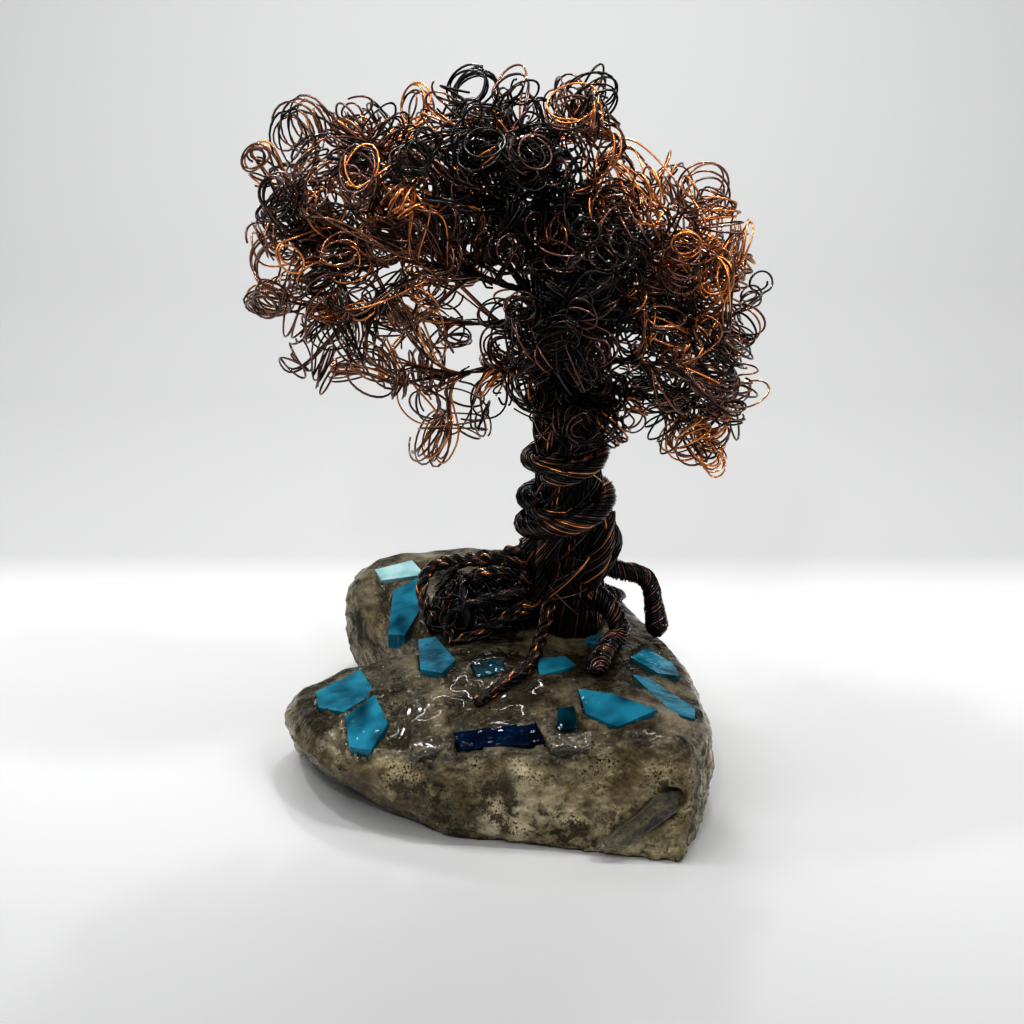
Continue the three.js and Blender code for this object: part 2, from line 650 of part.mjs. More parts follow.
const sculpture = new THREE.Group();
sculpture.name = 'wire_tree_sculpture';
sculpture.add(base);
sculpture.add(tree);

export default sculpture;
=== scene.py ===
"""Wire tree sculpture: finishes the solids as a tree of real wires in a resin-coated stone.

The trunk, the roots and the bands round the trunk are ropes of thin wire, and the crown
is made of locks of wire that sweep out of the boughs and end in curls. The stone is a
rough cement casting under a clear coat, with chips of blue and clear glass.
"""

import json
import math

import bpy
import numpy as np
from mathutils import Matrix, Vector, noise
from mathutils.kdtree import KDTree

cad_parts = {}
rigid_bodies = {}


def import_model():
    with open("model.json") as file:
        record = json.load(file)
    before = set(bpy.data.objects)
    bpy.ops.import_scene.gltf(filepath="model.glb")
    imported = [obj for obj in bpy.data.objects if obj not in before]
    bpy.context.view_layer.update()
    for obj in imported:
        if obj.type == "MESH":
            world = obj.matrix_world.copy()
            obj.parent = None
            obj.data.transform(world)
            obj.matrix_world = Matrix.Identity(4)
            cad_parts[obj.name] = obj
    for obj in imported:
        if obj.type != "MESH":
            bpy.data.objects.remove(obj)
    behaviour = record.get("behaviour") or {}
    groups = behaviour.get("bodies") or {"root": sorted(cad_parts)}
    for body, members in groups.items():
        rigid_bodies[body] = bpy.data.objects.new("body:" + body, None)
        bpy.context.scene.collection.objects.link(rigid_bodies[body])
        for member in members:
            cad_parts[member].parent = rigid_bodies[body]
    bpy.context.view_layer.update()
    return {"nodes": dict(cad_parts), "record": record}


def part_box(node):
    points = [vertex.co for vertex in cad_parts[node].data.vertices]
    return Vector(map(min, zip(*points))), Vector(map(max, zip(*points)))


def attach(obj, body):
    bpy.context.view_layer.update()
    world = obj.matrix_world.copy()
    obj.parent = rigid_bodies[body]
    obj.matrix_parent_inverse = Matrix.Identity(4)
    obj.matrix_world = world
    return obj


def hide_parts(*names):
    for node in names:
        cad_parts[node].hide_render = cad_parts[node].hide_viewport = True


bl_info = {
    "name": "Wire tree sculpture",
    "version": (1, 0, 0),
    "blender": (4, 5, 0),
    "location": "View3D > Sidebar > Wire tree",
    "description": "A tree of curling copper and bronze wire on a heart-shaped stone with glass chips",
    "category": "Object",
}

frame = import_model()
MM = 0.001
BODY = "root"

# The trunk: where it stands and ends, and how far it leans as it climbs.
TRUNK_BASE = 38.2 * MM
TRUNK_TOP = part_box("trunk")[1].z
TRUNK_X = 23 * MM
TRUNK_Y = 15 * MM
TRUNK_LEAN = -7 * MM

# Its radius at the foot, and what it loses by the top, in millimetres.
TRUNK_RADIUS = 10.5
TRUNK_TAPER = 6

# Its strands, the wires in each, and the loose wires lashed round them.
TRUNK_STRANDS = 8
STRAND_WIRES = 11
LASHINGS = 90

# How many sides the tube of a single wire has, and that of a rope's core.
WIRE_SIDES = 4
CORE_SIDES = 8

# Roots: thickness at the trunk and at the tip, the route in millimetres, and how many
# strands and wires the rope has. One strand stands for a core bound with a coil of wires.
ROOTS = {
    "root_rear_left": (6, 2.6, [(17, 15, 69), (2, 21, 60), (-8, 36, 50), (-22, 50, 40)], 2, 9),
    "root_left": (5.6, 4, [(14, 16, 61), (-6, 25, 56), (-21, 33, 50), (-26, 25, 45), (-22, 13, 35)], 3, 7),
    "root_left_low": (5.4, 4, [(15, 15, 54), (1, 18, 54), (-11, 20, 51), (-18, 13, 42), (-15, 6, 35)], 3, 7),
    "root_front_left": (5, 3.8, [(15, 11, 51), (2, 8, 43), (-6, 6, 40), (-15, 4, 35)], 3, 6),
    "root_front": (5.4, 4, [(18, 11, 56), (15, 4, 45), (12, -8, 41), (8, -18, 39), (-7, -34, 36)], 3, 7),
    "root_front_right": (
        7.4, 6, [(26, 10, 55), (34, 8, 49), (39, 4, 41), (35, -4, 39), (30, -21, 40)], 1, 11,
    ),
    "root_right": (7, 6, [(29, 15, 62), (39, 15, 57), (48, 19, 52), (51, 17, 42), (52, 12, 34)], 1, 11),
    "root_rear": (6, 4.4, [(24, 22, 50), (27, 32, 44), (26, 43, 38)], 3, 7),
    "root_rear_right": (6, 4.2, [(29, 19, 49), (38, 29, 41), (41, 39, 35)], 3, 7),
}

# The room that each wire of such a coil takes, as a share of its thickness.
COIL_ROOM = 1.35

# The plain roots at the back, which don't run on up the trunk.
LOW_ROOTS = ("root_rear", "root_rear_right")

# A bend of rope that stands out on the right of the trunk, in millimetres.
SHOULDER = [(28, 8, 84), (34, 9, 76), (36, 11, 68), (32, 11, 59), (28, 12, 52)]

# Bands round the trunk: height, thickness, first bearing, and tilt and bulge as shares of
# the thickness.
WRAPS = {
    "wrap_upper": (98, 4.8, 215, 0.5, 0.1),
    "wrap_lower": (81, 6.2, 150, 0.42, 0.38),
}
WRAP_TURNS = 1.12

# The tangle of wire between the roots on the left: centre and half sizes in millimetres,
# the number of loops on it, and the ropes that cross it.
TANGLE = ((-4.2, 19.6, 38), (19, 13, 13))
TANGLE_LOOPS = 130
TANGLE_ROPES = [
    [(10, 22, 55), (-6, 30, 55), (-18, 24, 49), (-21, 14, 39)],
    [(9, 11, 51), (-5, 8, 50), (-15, 9, 45), (-19, 13, 37)],
    [(-13, 27, 49), (-12, 15, 52), (-11, 7, 46), (-10, 6, 38)],
]

# Boughs: where the stem forks, bends and ends, in millimetres.
BOUGHS = {
    "bough_left_skirt": [(20, 15, 131), (-4, 12, 129), (-33, 8, 125)],
    "bough_left_low": [(19, 15, 138), (-14, 16, 144), (-55, 17, 146)],
    "bough_left_front": [(19, 15, 144), (-3, 3, 165), (-29, -12, 172)],
    "bough_left_rear": [(18, 15, 150), (-9, 30, 171), (-41, 49, 177)],
    "bough_left_outer": [(18, 15, 156), (-17, 13, 168), (-59, 10, 172)],
    "bough_left_high": [(17, 15, 163), (-8, 17, 189), (-38, 20, 198)],
    "bough_top_left": [(16, 15, 169), (6, 12, 199), (-6, 9, 209)],
    "bough_top_rear": [(17, 15, 165), (13, 29, 190), (9, 45, 198)],
    "bough_top_right": [(17, 15, 163), (26, 17, 189), (38, 19, 198)],
    "bough_right_high": [(18, 15, 149), (38, 17, 166), (62, 20, 172)],
    "bough_right_middle": [(19, 15, 135), (42, 13, 143), (69, 10, 146)],
    "bough_right_low": [(20, 15, 121), (39, 17, 118), (62, 20, 115)],
    "bough_right_front": [(20, 15, 129), (36, 0, 138), (56, -19, 141)],
    "bough_right_rear": [(20, 15, 131), (37, 31, 142), (58, 52, 146)],
    "bough_front": [(19, 15, 143), (17, -3, 153), (16, -24, 157)],
    "bough_rear": [(19, 15, 139), (20, 35, 150), (20, 61, 154)],
}

# A bough's stem: how many points its route has, and how low its foot may be.
STEM_POINTS = 60
STEM_FOOT = 106 * MM

# The points of a stem from which on a curl looks for its bough and for its place on that
# bough, and before which no lock leaves the stem.
PICK_BOUGH_FROM = 24
PICK_PLACE_FROM = 26
LEAVE_FROM = 18

# Parts of the crown that the curls fill: centre and half sizes in millimetres, how many
# locks, the share of copper wire there, how level the coils lie, and the size of the curls.
CLOUDS = [
    ((-50, 15, 187), (23, 34, 21), 37, 0.16, 0.0, 1.0),
    ((-22, 14, 194), (25, 34, 21), 42, 0.14, 0.0, 1.0),
    ((-60, 15, 164), (14, 26, 20), 19, 0.25, 0.0, 1.0),
    ((-32, 12, 163), (24, 32, 17), 24, 0.3, 0.0, 1.0),
    ((-2, 13, 203), (17, 26, 14), 28, 0.04, 0.0, 1.0),
    ((10, 12, 186), (12, 20, 15), 22, 0.02, 0.0, 1.0),
    ((-5, 13, 176), (13, 28, 13), 20, 0.16, 0.0, 1.0),
    ((20, 15, 203), (18, 20, 11), 16, 0.15, 0.0, 1.05),
    ((-52, 15, 139), (15, 20, 13), 11, 0.28, 0.0, 1.05),
    ((-28, 13, 137), (16, 20, 13), 11, 0.3, 0.0, 1.1),
    ((-18, 12, 111), (14, 9, 11), 7, 0.5, 0.0, 1.15),
    ((4, 12, 134), (8, 14, 20), 12, 0.2, 0.0, 1.05),
    ((29, 8, 165), (18, 26, 22), 56, 0.02, 0.4, 0.95),
    ((43, 16, 183), (21, 24, 9), 22, 0.4, 0.0, 1.05),
    ((63, 15, 168), (12, 24, 13), 14, 0.4, 0.2, 1.0),
    ((57, 15, 150), (21, 34, 18), 38, 0.26, 0.6, 0.95),
    ((57, 13, 129), (22, 30, 18), 36, 0.18, 0.8, 0.95),
    ((20, 6, 143), (12, 16, 26), 42, 0.02, 0.4, 0.9),
    ((27, 9, 117), (17, 18, 10), 28, 0.04, 0.5, 0.9),
    ((66, 15, 107), (10, 14, 9), 8, 0.4, 0.3, 1.1),
    ((18, -14, 150), (16, 10, 15), 14, 0.03, 0.4, 1.0),
    ((22, 49, 152), (18, 12, 16), 18, 0.06, 0.3, 1.0),
    ((54, 42, 150), (14, 10, 14), 9, 0.2, 0.4, 1.0),
    ((-36, 40, 180), (16, 10, 14), 8, 0.14, 0.0, 1.0),
]

# The bead of resin round each chip: its reach, and its height on the top and on the wall.
BEAD_REACH = 3 * MM
BEAD_ON_TOP = 1.7 * MM
BEAD_ON_WALL = 0.5 * MM

# Colours of the cement besides the two that can be set.
WARM_CEMENT = (0.13, 0.1, 0.052)
CHALKY_CEMENT = (0.56, 0.49, 0.34)
PIT_DIRT = (0.012, 0.008, 0.004)
WALL_DIRT = (0.02, 0.015, 0.008)
# Painted shade on the stone's top: near-black patches of painted shadow, among the darker cement that the
# resin has wetted.
WET_SHADOW = (0.006, 0.005, 0.003)
WET_CEMENT = (0.15, 0.125, 0.08)

# Painted shade: the dark of a rope's core, a tube that stands for its inner wires in shade.
CORE_SHADE_BLACK = (0.004, 0.003, 0.003)
CORE_SHADE_BROWN = (0.016, 0.01, 0.008)

# Glass: its deep and its light colour, and the share of light that goes through.
GLASS = {
    "blue": ((0.003, 0.055, 0.09), (0.035, 0.28, 0.39), 0.35),
    "navy": ((0.001, 0.002, 0.004), (0.002, 0.016, 0.05), 0.3),
    "teal": ((0.001, 0.012, 0.018), (0.004, 0.07, 0.1), 0.35),
    "aqua": ((0.2, 0.5, 0.54), (0.62, 0.92, 0.94), 0.5),
    "clear": ((0.7, 0.68, 0.6), (0.9, 0.9, 0.84), 0.96),
}

# Painted light: greys of the floor, front and back, and of the wall behind it, low and high, set to copy how
# the light falls off; the wall's greyer tone is painted shade.
FLOOR_LIGHT_FRONT = (0.385, 0.385, 0.385)
FLOOR_LIGHT_BACK = (0.51, 0.51, 0.51)
WALL_LIGHT_LOW = (0.385, 0.388, 0.385)
WALL_LIGHT_HIGH = (0.56, 0.56, 0.56)

# Lights: the place, the point that each one faces, its two sides in metres and its watts.
LIGHTS = {
    "key": ((-0.5, -0.35, 0.85), (0, 0, 0.1), (0.6, 0.6), 2.4),
    "fill": ((0.75, -0.45, 0.6), (0, 0, 0.1), (0.6, 0.6), 1.2),
    "top": ((0.05, 0.25, 1.0), (0, 0, 0.1), (0.5, 0.5), 1.6),
    "left glint": ((-0.28, 0.12, 0.7), (0, 0, 0.1), (0.04, 0.04), 0.9),
    "right glint": ((0.3, -0.05, 0.72), (0, 0, 0.1), (0.04, 0.04), 0.9),
    "front glint": ((-0.12, -0.6, 0.75), (0, 0, 0.05), (0.04, 0.04), 0.9),
    "rear glint": ((0.1, 0.5, 0.8), (0, 0, 0.05), (0.04, 0.04), 1.1),
    "left strip": ((-0.3, 0.05, 0.62), (0, 0, 0.1), (0.012, 0.5), 0.9),
    "right strip": ((0.32, -0.05, 0.6), (0, 0, 0.1), (0.012, 0.5), 0.8),
    "rear strip": ((0.03, 0.4, 0.6), (0, 0, 0.05), (0.5, 0.012), 1.1),
}
SKY_COLOUR = (0.93, 0.94, 0.96, 1)
SKY_STRENGTH = 0.24


class WireSettings(bpy.types.PropertyGroup):
    """Sizes and colours of the wire."""

    diameter: bpy.props.FloatProperty(
        name="Wire diameter",
        description="Thickness of a single wire",
        default=0.00072,
        min=0.0003,
        max=0.002,
        precision=5,
        unit="LENGTH",
    )
    bronze: bpy.props.FloatVectorProperty(
        name="Bronze",
        description="Colour of the dark enamelled wire",
        default=(0.008, 0.006, 0.0055),
        min=0,
        max=1,
        subtype="COLOR",
    )
    brown: bpy.props.FloatVectorProperty(
        name="Brown",
        description="Colour of the brown wire",
        default=(0.165, 0.08, 0.057),
        min=0,
        max=1,
        subtype="COLOR",
    )
    copper: bpy.props.FloatVectorProperty(
        name="Copper",
        description="Colour of the bright copper wire",
        default=(0.8, 0.32, 0.085),
        min=0,
        max=1,
        subtype="COLOR",
    )


class CrownSettings(bpy.types.PropertyGroup):
    """How the crown's wires gather and curl."""

    curl_diameter: bpy.props.FloatProperty(
        name="Curl diameter",
        description="Usual size of the loop at a wire's end",
        default=0.0124,
        min=0.004,
        max=0.03,
        unit="LENGTH",
    )
    density: bpy.props.FloatProperty(
        name="Density",
        description="Share of the usual number of locks",
        default=1.0,
        min=0.1,
        max=2.0,
        subtype="FACTOR",
    )
    seed: bpy.props.IntProperty(
        name="Seed",
        description="Picks another arrangement of the curls",
        default=7,
        min=0,
    )


class StoneSettings(bpy.types.PropertyGroup):
    """Surface of the cast stone."""

    grain: bpy.props.FloatProperty(
        name="Grain",
        description="Spacing of the stone's surface points",
        default=0.0013,
        min=0.0008,
        max=0.004,
        precision=4,
        unit="LENGTH",
    )
    relief: bpy.props.FloatProperty(
        name="Relief",
        description="Height of the stone's lumps and pits",
        default=0.0014,
        min=0,
        max=0.004,
        precision=4,
        unit="LENGTH",
    )
    pale: bpy.props.FloatVectorProperty(
        name="Pale cement",
        description="Colour of the cement where it's clean",
        default=(0.5, 0.425, 0.265),
        min=0,
        max=1,
        subtype="COLOR",
    )
    dark: bpy.props.FloatVectorProperty(
        name="Dark cement",
        description="Colour of the cement in its pits and stains",
        default=(0.045, 0.036, 0.022),
        min=0,
        max=1,
        subtype="COLOR",
    )


class StageSettings(bpy.types.PropertyGroup):
    """Where the camera stands and looks."""

    aside: bpy.props.FloatProperty(
        name="Camera offset",
        description="How far the camera stands to the right of the object's origin",
        default=0.004,
        unit="LENGTH",
    )
    distance: bpy.props.FloatProperty(
        name="Camera distance",
        description="From the object's origin to the camera, level",
        default=0.595,
        min=0.2,
        unit="LENGTH",
    )
    height: bpy.props.FloatProperty(
        name="Camera height",
        description="Height of the camera over the floor",
        default=0.369,
        min=0,
        unit="LENGTH",
    )
    pitch: bpy.props.FloatProperty(
        name="Camera pitch",
        description="How far the camera looks down",
        default=math.radians(25.5),
        subtype="ANGLE",
    )
    lens: bpy.props.FloatProperty(
        name="Lens",
        description="Focal length of the camera in millimetres",
        default=73.8,
        min=20,
        unit="CAMERA",
    )


class Value:
    """A shader socket that does arithmetic, adding the Math nodes that it needs."""

    def __init__(self, surface, socket):
        self.surface = surface
        self.socket = socket

    def _math(self, operation, first, second, clamp=False):
        settings = {"operation": operation, "use_clamp": clamp}
        return self.surface.node("ShaderNodeMath", settings, {0: first, 1: second})

    def __add__(self, other):
        return self._math("ADD", self, other)

    __radd__ = __add__

    def __sub__(self, other):
        return self._math("SUBTRACT", self, other)

    def __rsub__(self, other):
        return self._math("SUBTRACT", other, self)

    def __mul__(self, other):
        return self._math("MULTIPLY", self, other)

    __rmul__ = __mul__

    def clamped(self):
        return self._math("ADD", self, 0.0, clamp=True)

    def above(self, low, high):
        """0 below low, 1 above high and straight between."""
        return ((self - low) * (1.0 / (high - low))).clamped()


class Surface:
    """A node material with one Principled shader."""

    def __init__(self, name, **plain):
        self.material = bpy.data.materials.new(name)
        self.material.use_nodes = True
        self.tree = self.material.node_tree
        self.shader = self.tree.nodes["Principled BSDF"]
        for label, value in plain.items():
            self.shader.inputs[label.replace("_", " ")].default_value = value

    def feed(self, socket, value):
        """Links a Value, or sets a plain number, vector or colour."""
        if isinstance(value, Value):
            self.tree.links.new(value.socket, socket)
        else:
            socket.default_value = value

    def node(self, kind, settings, sockets, output=0):
        """Adds a node: its settings first, then its sockets by name or by number."""
        made = self.tree.nodes.new(kind)
        for key, value in settings.items():
            setattr(made, key, value)
        for label, value in sockets.items():
            self.feed(made.inputs[label], value)
        return Value(self, made.outputs[output])

    def place(self):
        """Object coordinates, in metres."""
        return self.node("ShaderNodeTexCoord", {}, {}, "Object")

    def noise(self, size, detail=3.0, roughness=0.5):
        """Noise with lumps of about the given size in metres."""
        sockets = {"Vector": self.place(), "Scale": 1.0 / size, "Detail": detail, "Roughness": roughness}
        return self.node("ShaderNodeTexNoise", {}, sockets, "Fac")

    def attribute(self, name):
        return self.node("ShaderNodeAttribute", {"attribute_name": name}, {}, "Fac")

    def mix(self, factor, first, second):
        """A colour between two others."""
        first, second = (end if isinstance(end, Value) else (*end, 1.0) for end in (first, second))
        return self.node("ShaderNodeMix", {"data_type": "RGBA"}, {0: factor, 6: first, 7: second}, 2)

    def bump(self, height, distance, strength, after=None):
        """A Bump node on that height; another may come before it."""
        sockets = {"Height": height, "Distance": distance, "Strength": strength}
        if after is not None:
            sockets["Normal"] = after
        return self.node("ShaderNodeBump", {}, sockets, "Normal")

    def set(self, label, value):
        self.feed(self.shader.inputs[label], value)


def wire_surface(wire):
    """Enamelled wire: the tone of each wire picks bronze, brown or copper."""
    surface = Surface("enamelled_wire", Metallic=0.8, Coat_Weight=0.7, Coat_Roughness=0.05)
    tone = surface.attribute("tone")
    toned = surface.mix(tone.above(0.2, 0.5), wire.bronze, wire.brown)
    surface.set("Base Color", surface.mix(tone.above(0.6, 0.95), toned, wire.copper))
    surface.set("Roughness", 0.15 + 0.1 * surface.noise(6 * MM, 1.0))
    return surface.material


def core_surface():
    """The shadowed middle of a rope."""
    surface = Surface("rope_core", Metallic=0.3)
    surface.set("Base Color", surface.mix(surface.noise(4 * MM).above(0.35, 0.65), CORE_SHADE_BLACK, CORE_SHADE_BROWN))
    surface.set("Roughness", 0.5 + 0.2 * surface.noise(2 * MM))
    return surface.material


def stone_surface(stone):
    """Speckled cement, glossy from the clear resin poured over it, and darker on top, where it is partly
    wetted cement and partly painted shade.
    """
    surface = Surface("resin_coated_cement", Specular_IOR_Level=0.12, Coat_Weight=0.25, Coat_Roughness=0.03)
    wall = surface.attribute("wall")
    broad = surface.noise(26 * MM, 2.0, 0.5)
    middle = surface.noise(9 * MM, 3.0, 0.55)
    fine = surface.noise(2.0 * MM, 5.0, 0.7)
    stain = (0.4 * broad + 0.35 * middle + 0.25 * fine).above(0.4, 0.62)
    ground = surface.mix(stain, stone.dark, stone.pale)
    warm = surface.mix(surface.noise(13 * MM, 3.0).above(0.48, 0.64), ground, WARM_CEMENT)
    chalky = surface.mix(surface.noise(17 * MM, 4.0, 0.6).above(0.52, 0.66), warm, CHALKY_CEMENT)
    pits = surface.noise(0.8 * MM, 2.0, 0.6).above(0.55, 0.62) * surface.noise(9 * MM, 3.0).above(0.42, 0.6)
    speckled = surface.mix(pits, chalky, PIT_DIRT)
    ragged = wall.above(0.4, 0.9) * surface.noise(5 * MM, 5.0, 0.7).above(0.5, 0.56)
    dirty = surface.mix(0.8 * ragged, speckled, WALL_DIRT)
    # The top is painted mostly in these colours: partly real wetted cement and partly painted shade in
    # near-black patches; the walls keep the dirty colour.
    wet_and_shaded = surface.mix(surface.noise(15 * MM, 4.0, 0.6).above(0.5, 0.66), WET_SHADOW, WET_CEMENT)
    surface.set("Base Color", surface.mix(0.86 - 0.74 * wall.above(0.1, 0.5), dirty, wet_and_shaded))
    surface.set("Roughness", 0.06 + 0.45 * ragged + 0.1 * fine)
    grit = surface.bump(fine, 0.2 * MM, 0.3)
    surface.set("Normal", surface.bump(surface.noise(4 * MM, 2.0), 2.6 * MM, 0.8, after=grit))
    return surface.material


def glass_surface(name, deep, light, clearness):
    """See-through glass, by plain values, with darker clouds in it and a wavy top."""
    surface = Surface(name, Roughness=0.04, IOR=1.36, Transmission_Weight=clearness)
    surface.set("Base Color", surface.mix(surface.noise(9 * MM, 1.0).above(0.25, 0.62), deep, light))
    surface.set("Normal", surface.bump(surface.noise(3.5 * MM, 1.0), 1.2 * MM, 0.6))
    return surface.material


def floor_surface():
    """Plain matt white, with painted light: paler towards the back, and greyer with painted shade on the
    wall behind.
    """
    surface = Surface("pale_floor", Roughness=0.6)
    back = surface.node("ShaderNodeSeparateXYZ", {}, {"Vector": surface.place()}, "Y")
    # Painted light: the floor grows paler towards the back, and the wall is painted greyer as shade, paler
    # higher up.
    ground = surface.mix(back.above(-0.15, 0.05), FLOOR_LIGHT_FRONT, FLOOR_LIGHT_BACK)
    behind = surface.mix(back.above(0.3, 0.78), WALL_LIGHT_LOW, WALL_LIGHT_HIGH)
    surface.set("Base Color", surface.mix(back.above(0.11, 0.14), ground, behind))
    return surface.material


MATERIALS = {}


def materials():
    """The finishes of the sculpture, made at the first call."""
    if not MATERIALS:
        scene = bpy.context.scene
        MATERIALS["wire"] = wire_surface(scene.tree_wire)
        MATERIALS["core"] = core_surface()
        MATERIALS["stone"] = stone_surface(scene.tree_stone)
        for tint, (deep, light, clearness) in GLASS.items():
            MATERIALS["glass_" + tint] = glass_surface(tint + "_glass", deep, light, clearness)
    return MATERIALS


def unit(vectors):
    return vectors / np.maximum(np.linalg.norm(vectors, axis=-1, keepdims=True), 1e-12)


def smooth_path(points, count):
    """count points spaced evenly along a smooth curve through the given ones."""
    points = np.asarray(points, float)
    ends = np.vstack([2 * points[0] - points[1], points, 2 * points[-1] - points[-2]])
    share = np.linspace(0, 1, 16, endpoint=False)[:, None]
    dense = []
    for a, b, c, d in zip(ends, ends[1:], ends[2:], ends[3:]):
        dense.append(0.5 * (
            2 * b + (c - a) * share
            + (2 * a - 5 * b + 4 * c - d) * share**2
            + (3 * b - a - 3 * c + d) * share**3
        ))
    return even(np.vstack([*dense, points[-1:]]), count)


def quadratic(points, count):
    """Points along the curve from the first to the last that bends towards the middle one."""
    start, bend, end = np.array(points) * MM
    share = np.linspace(0, 1, count)[:, None]
    return (1 - share) ** 2 * start + 2 * share * (1 - share) * bend + share**2 * end


def even(dense, count):
    """The same route with its points spaced evenly."""
    run = np.concatenate([[0], np.cumsum(np.linalg.norm(np.diff(dense, axis=0), axis=1))])
    stops = np.linspace(0, run[-1], count)
    return np.stack([np.interp(stops, run, dense[:, axis]) for axis in range(3)], axis=1)


def length_of(path):
    return float(np.linalg.norm(np.diff(path, axis=0), axis=1).sum())


def carried_frames(paths):
    """Two side directions at every point of each path, carried along without twist."""
    ahead = unit(np.gradient(paths, axis=1))
    start = ahead[:, 0]
    spare = np.where(np.abs(start[:, 2:3]) < 0.8, [[0.0, 0.0, 1.0]], [[1.0, 0.0, 0.0]])
    side = np.empty_like(paths)
    side[:, 0] = unit(np.cross(start, spare))
    for i in range(1, paths.shape[1]):
        tangent = ahead[:, i]
        last = side[:, i - 1]
        side[:, i] = unit(last - (last * tangent).sum(1, keepdims=True) * tangent)
    return side, np.cross(ahead, side)


def path_frames(path):
    """The two side directions along a single path."""
    return (part[0] for part in carried_frames(path[None]))


# The corners of a tube's quad, as steps along the tube and round it.
QUAD = ((0, 0), (0, 1), (1, 1), (1, 0))


def tube_grid(number, steps, sides):
    """For every quad of the tubes: its tube, its step along it and its side."""
    return np.meshgrid(np.arange(number), np.arange(steps - 1), np.arange(sides), indexing="ij")


def tube_faces(number, steps, sides):
    """Vertex numbers of the quads and the end caps, and where each face starts among them."""
    tube, step, face = tube_grid(number, steps, sides)
    quads = np.stack([(tube * steps + step + s) * sides + (face + f) % sides for s, f in QUAD], -1)
    first = (np.arange(number) * steps * sides)[:, None]
    starts = first + np.arange(sides)[::-1]
    ends = first + (steps - 1) * sides + np.arange(sides)
    corners = np.concatenate([quads.ravel(), starts.ravel(), ends.ravel()])
    count = number * (steps - 1) * sides
    begins = np.concatenate([4 * np.arange(count), 4 * count + sides * np.arange(2 * number)])
    return corners.astype(np.int32), begins.astype(np.int32)


def tube_unwrap(number, steps, sides):
    """Unwrap of the same corners: a cell of the square for each tube, with a margin round it."""
    tube, step, face = tube_grid(number, steps, sides)
    columns = max(1, math.ceil(math.sqrt(number * 3)))
    rows = math.ceil(number / columns)
    cell = np.array([0.9 / columns, 0.9 / rows])
    tubes = np.arange(number)
    corner = np.stack([(tubes % columns) / columns, (tubes // columns) / rows], -1) + 0.05 * cell
    quads = np.stack([
        corner[tube] + cell * np.stack([(face + f) / sides, (step + s) / (steps - 1)], -1) for s, f in QUAD
    ], -2)
    flat = np.stack([np.arange(sides) / sides, np.zeros(sides)], -1)
    starts = corner[:, None] + cell * flat[::-1]
    ends = corner[:, None] + cell * (flat + [0, 1])
    return np.concatenate([part.reshape(-1, 2) for part in (quads, starts, ends)])


def tube_object(name, paths, radius, sides, tones, material):
    """One mesh of closed tubes: the paths have as many points each, and every tube has its tone."""
    paths = np.asarray(paths, float)
    number, steps, _ = paths.shape
    side, up = carried_frames(paths)
    angles = 2 * np.pi * np.arange(sides) / sides
    ring = np.cos(angles)[:, None] * side[:, :, None] + np.sin(angles)[:, None] * up[:, :, None]
    radii = np.broadcast_to(np.asarray(radius, float), (number, steps))
    verts = (paths[:, :, None] + radii[:, :, None, None] * ring).reshape(-1, 3)
    corners, begins = tube_faces(number, steps, sides)
    mesh = bpy.data.meshes.new(name)
    mesh.vertices.add(len(verts))
    mesh.vertices.foreach_set("co", verts.ravel())
    mesh.loops.add(len(corners))
    mesh.loops.foreach_set("vertex_index", corners)
    mesh.polygons.add(len(begins))
    mesh.polygons.foreach_set("loop_start", begins)
    mesh.polygons.foreach_set("use_smooth", np.ones(len(begins), bool))
    layer = mesh.uv_layers.new(name="OFBake")
    layer.data.foreach_set("uv", tube_unwrap(number, steps, sides).ravel())
    mesh.update(calc_edges=True)
    tone = mesh.attributes.new("tone", "FLOAT", "POINT")
    tone.data.foreach_set("value", np.repeat(np.asarray(tones, float), steps * sides))
    mesh.materials.append(material)
    return add_object(name, mesh)


def add_object(name, data):
    """Puts a mesh, a light or a camera in the scene."""
    piece = bpy.data.objects.new(name, data)
    bpy.context.scene.collection.objects.link(piece)
    return piece


def join(pieces, name):
    """Joins pieces into the first, keeping every material."""
    for piece in bpy.context.view_layer.objects.selected:
        piece.select_set(False)
    for piece in pieces:
        piece.select_set(True)
    bpy.context.view_layer.objects.active = pieces[0]
    if bpy.ops.object.join() != {"FINISHED"}:
        raise RuntimeError(f"{name} wasn't joined")
    pieces[0].name = name
    return pieces[0]


def finish_piece(piece, node):
    """Hides the node's solid and puts the piece on the body."""
    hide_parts(node)
    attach(piece, BODY)


def rope_wires(path, thickness, strands, wires, wire, lay, wire_lay, start):
    """Paths of a rope's wires: wires wind round their strand, and strands round the path.

    path is an array of points, thickness one number for each; lay and wire_lay are the
    lengths of one full turn, and start is the first strand's bearing.
    """
    side, up = path_frames(path)
    run = np.linspace(0, length_of(path), len(path))
    half = thickness / 2
    strand_half = half / (1 + 1 / math.sin(math.pi / strands))
    made = []
    for strand in range(strands):
        turn = start + 2 * np.pi * (strand / strands + run / lay)
        around = np.cos(turn)[:, None] * side + np.sin(turn)[:, None] * up
        middle = path + (half - strand_half)[:, None] * around
        for number in range(wires):
            spin = 2 * np.pi * (number / wires - run / wire_lay) + strand
            out = np.cos(spin)[:, None] * side + np.sin(spin)[:, None] * up
            reach = np.maximum(strand_half * 1.08 - wire / 2, 0.0)
            made.append(middle + reach[:, None] * out)
    return np.array(made)


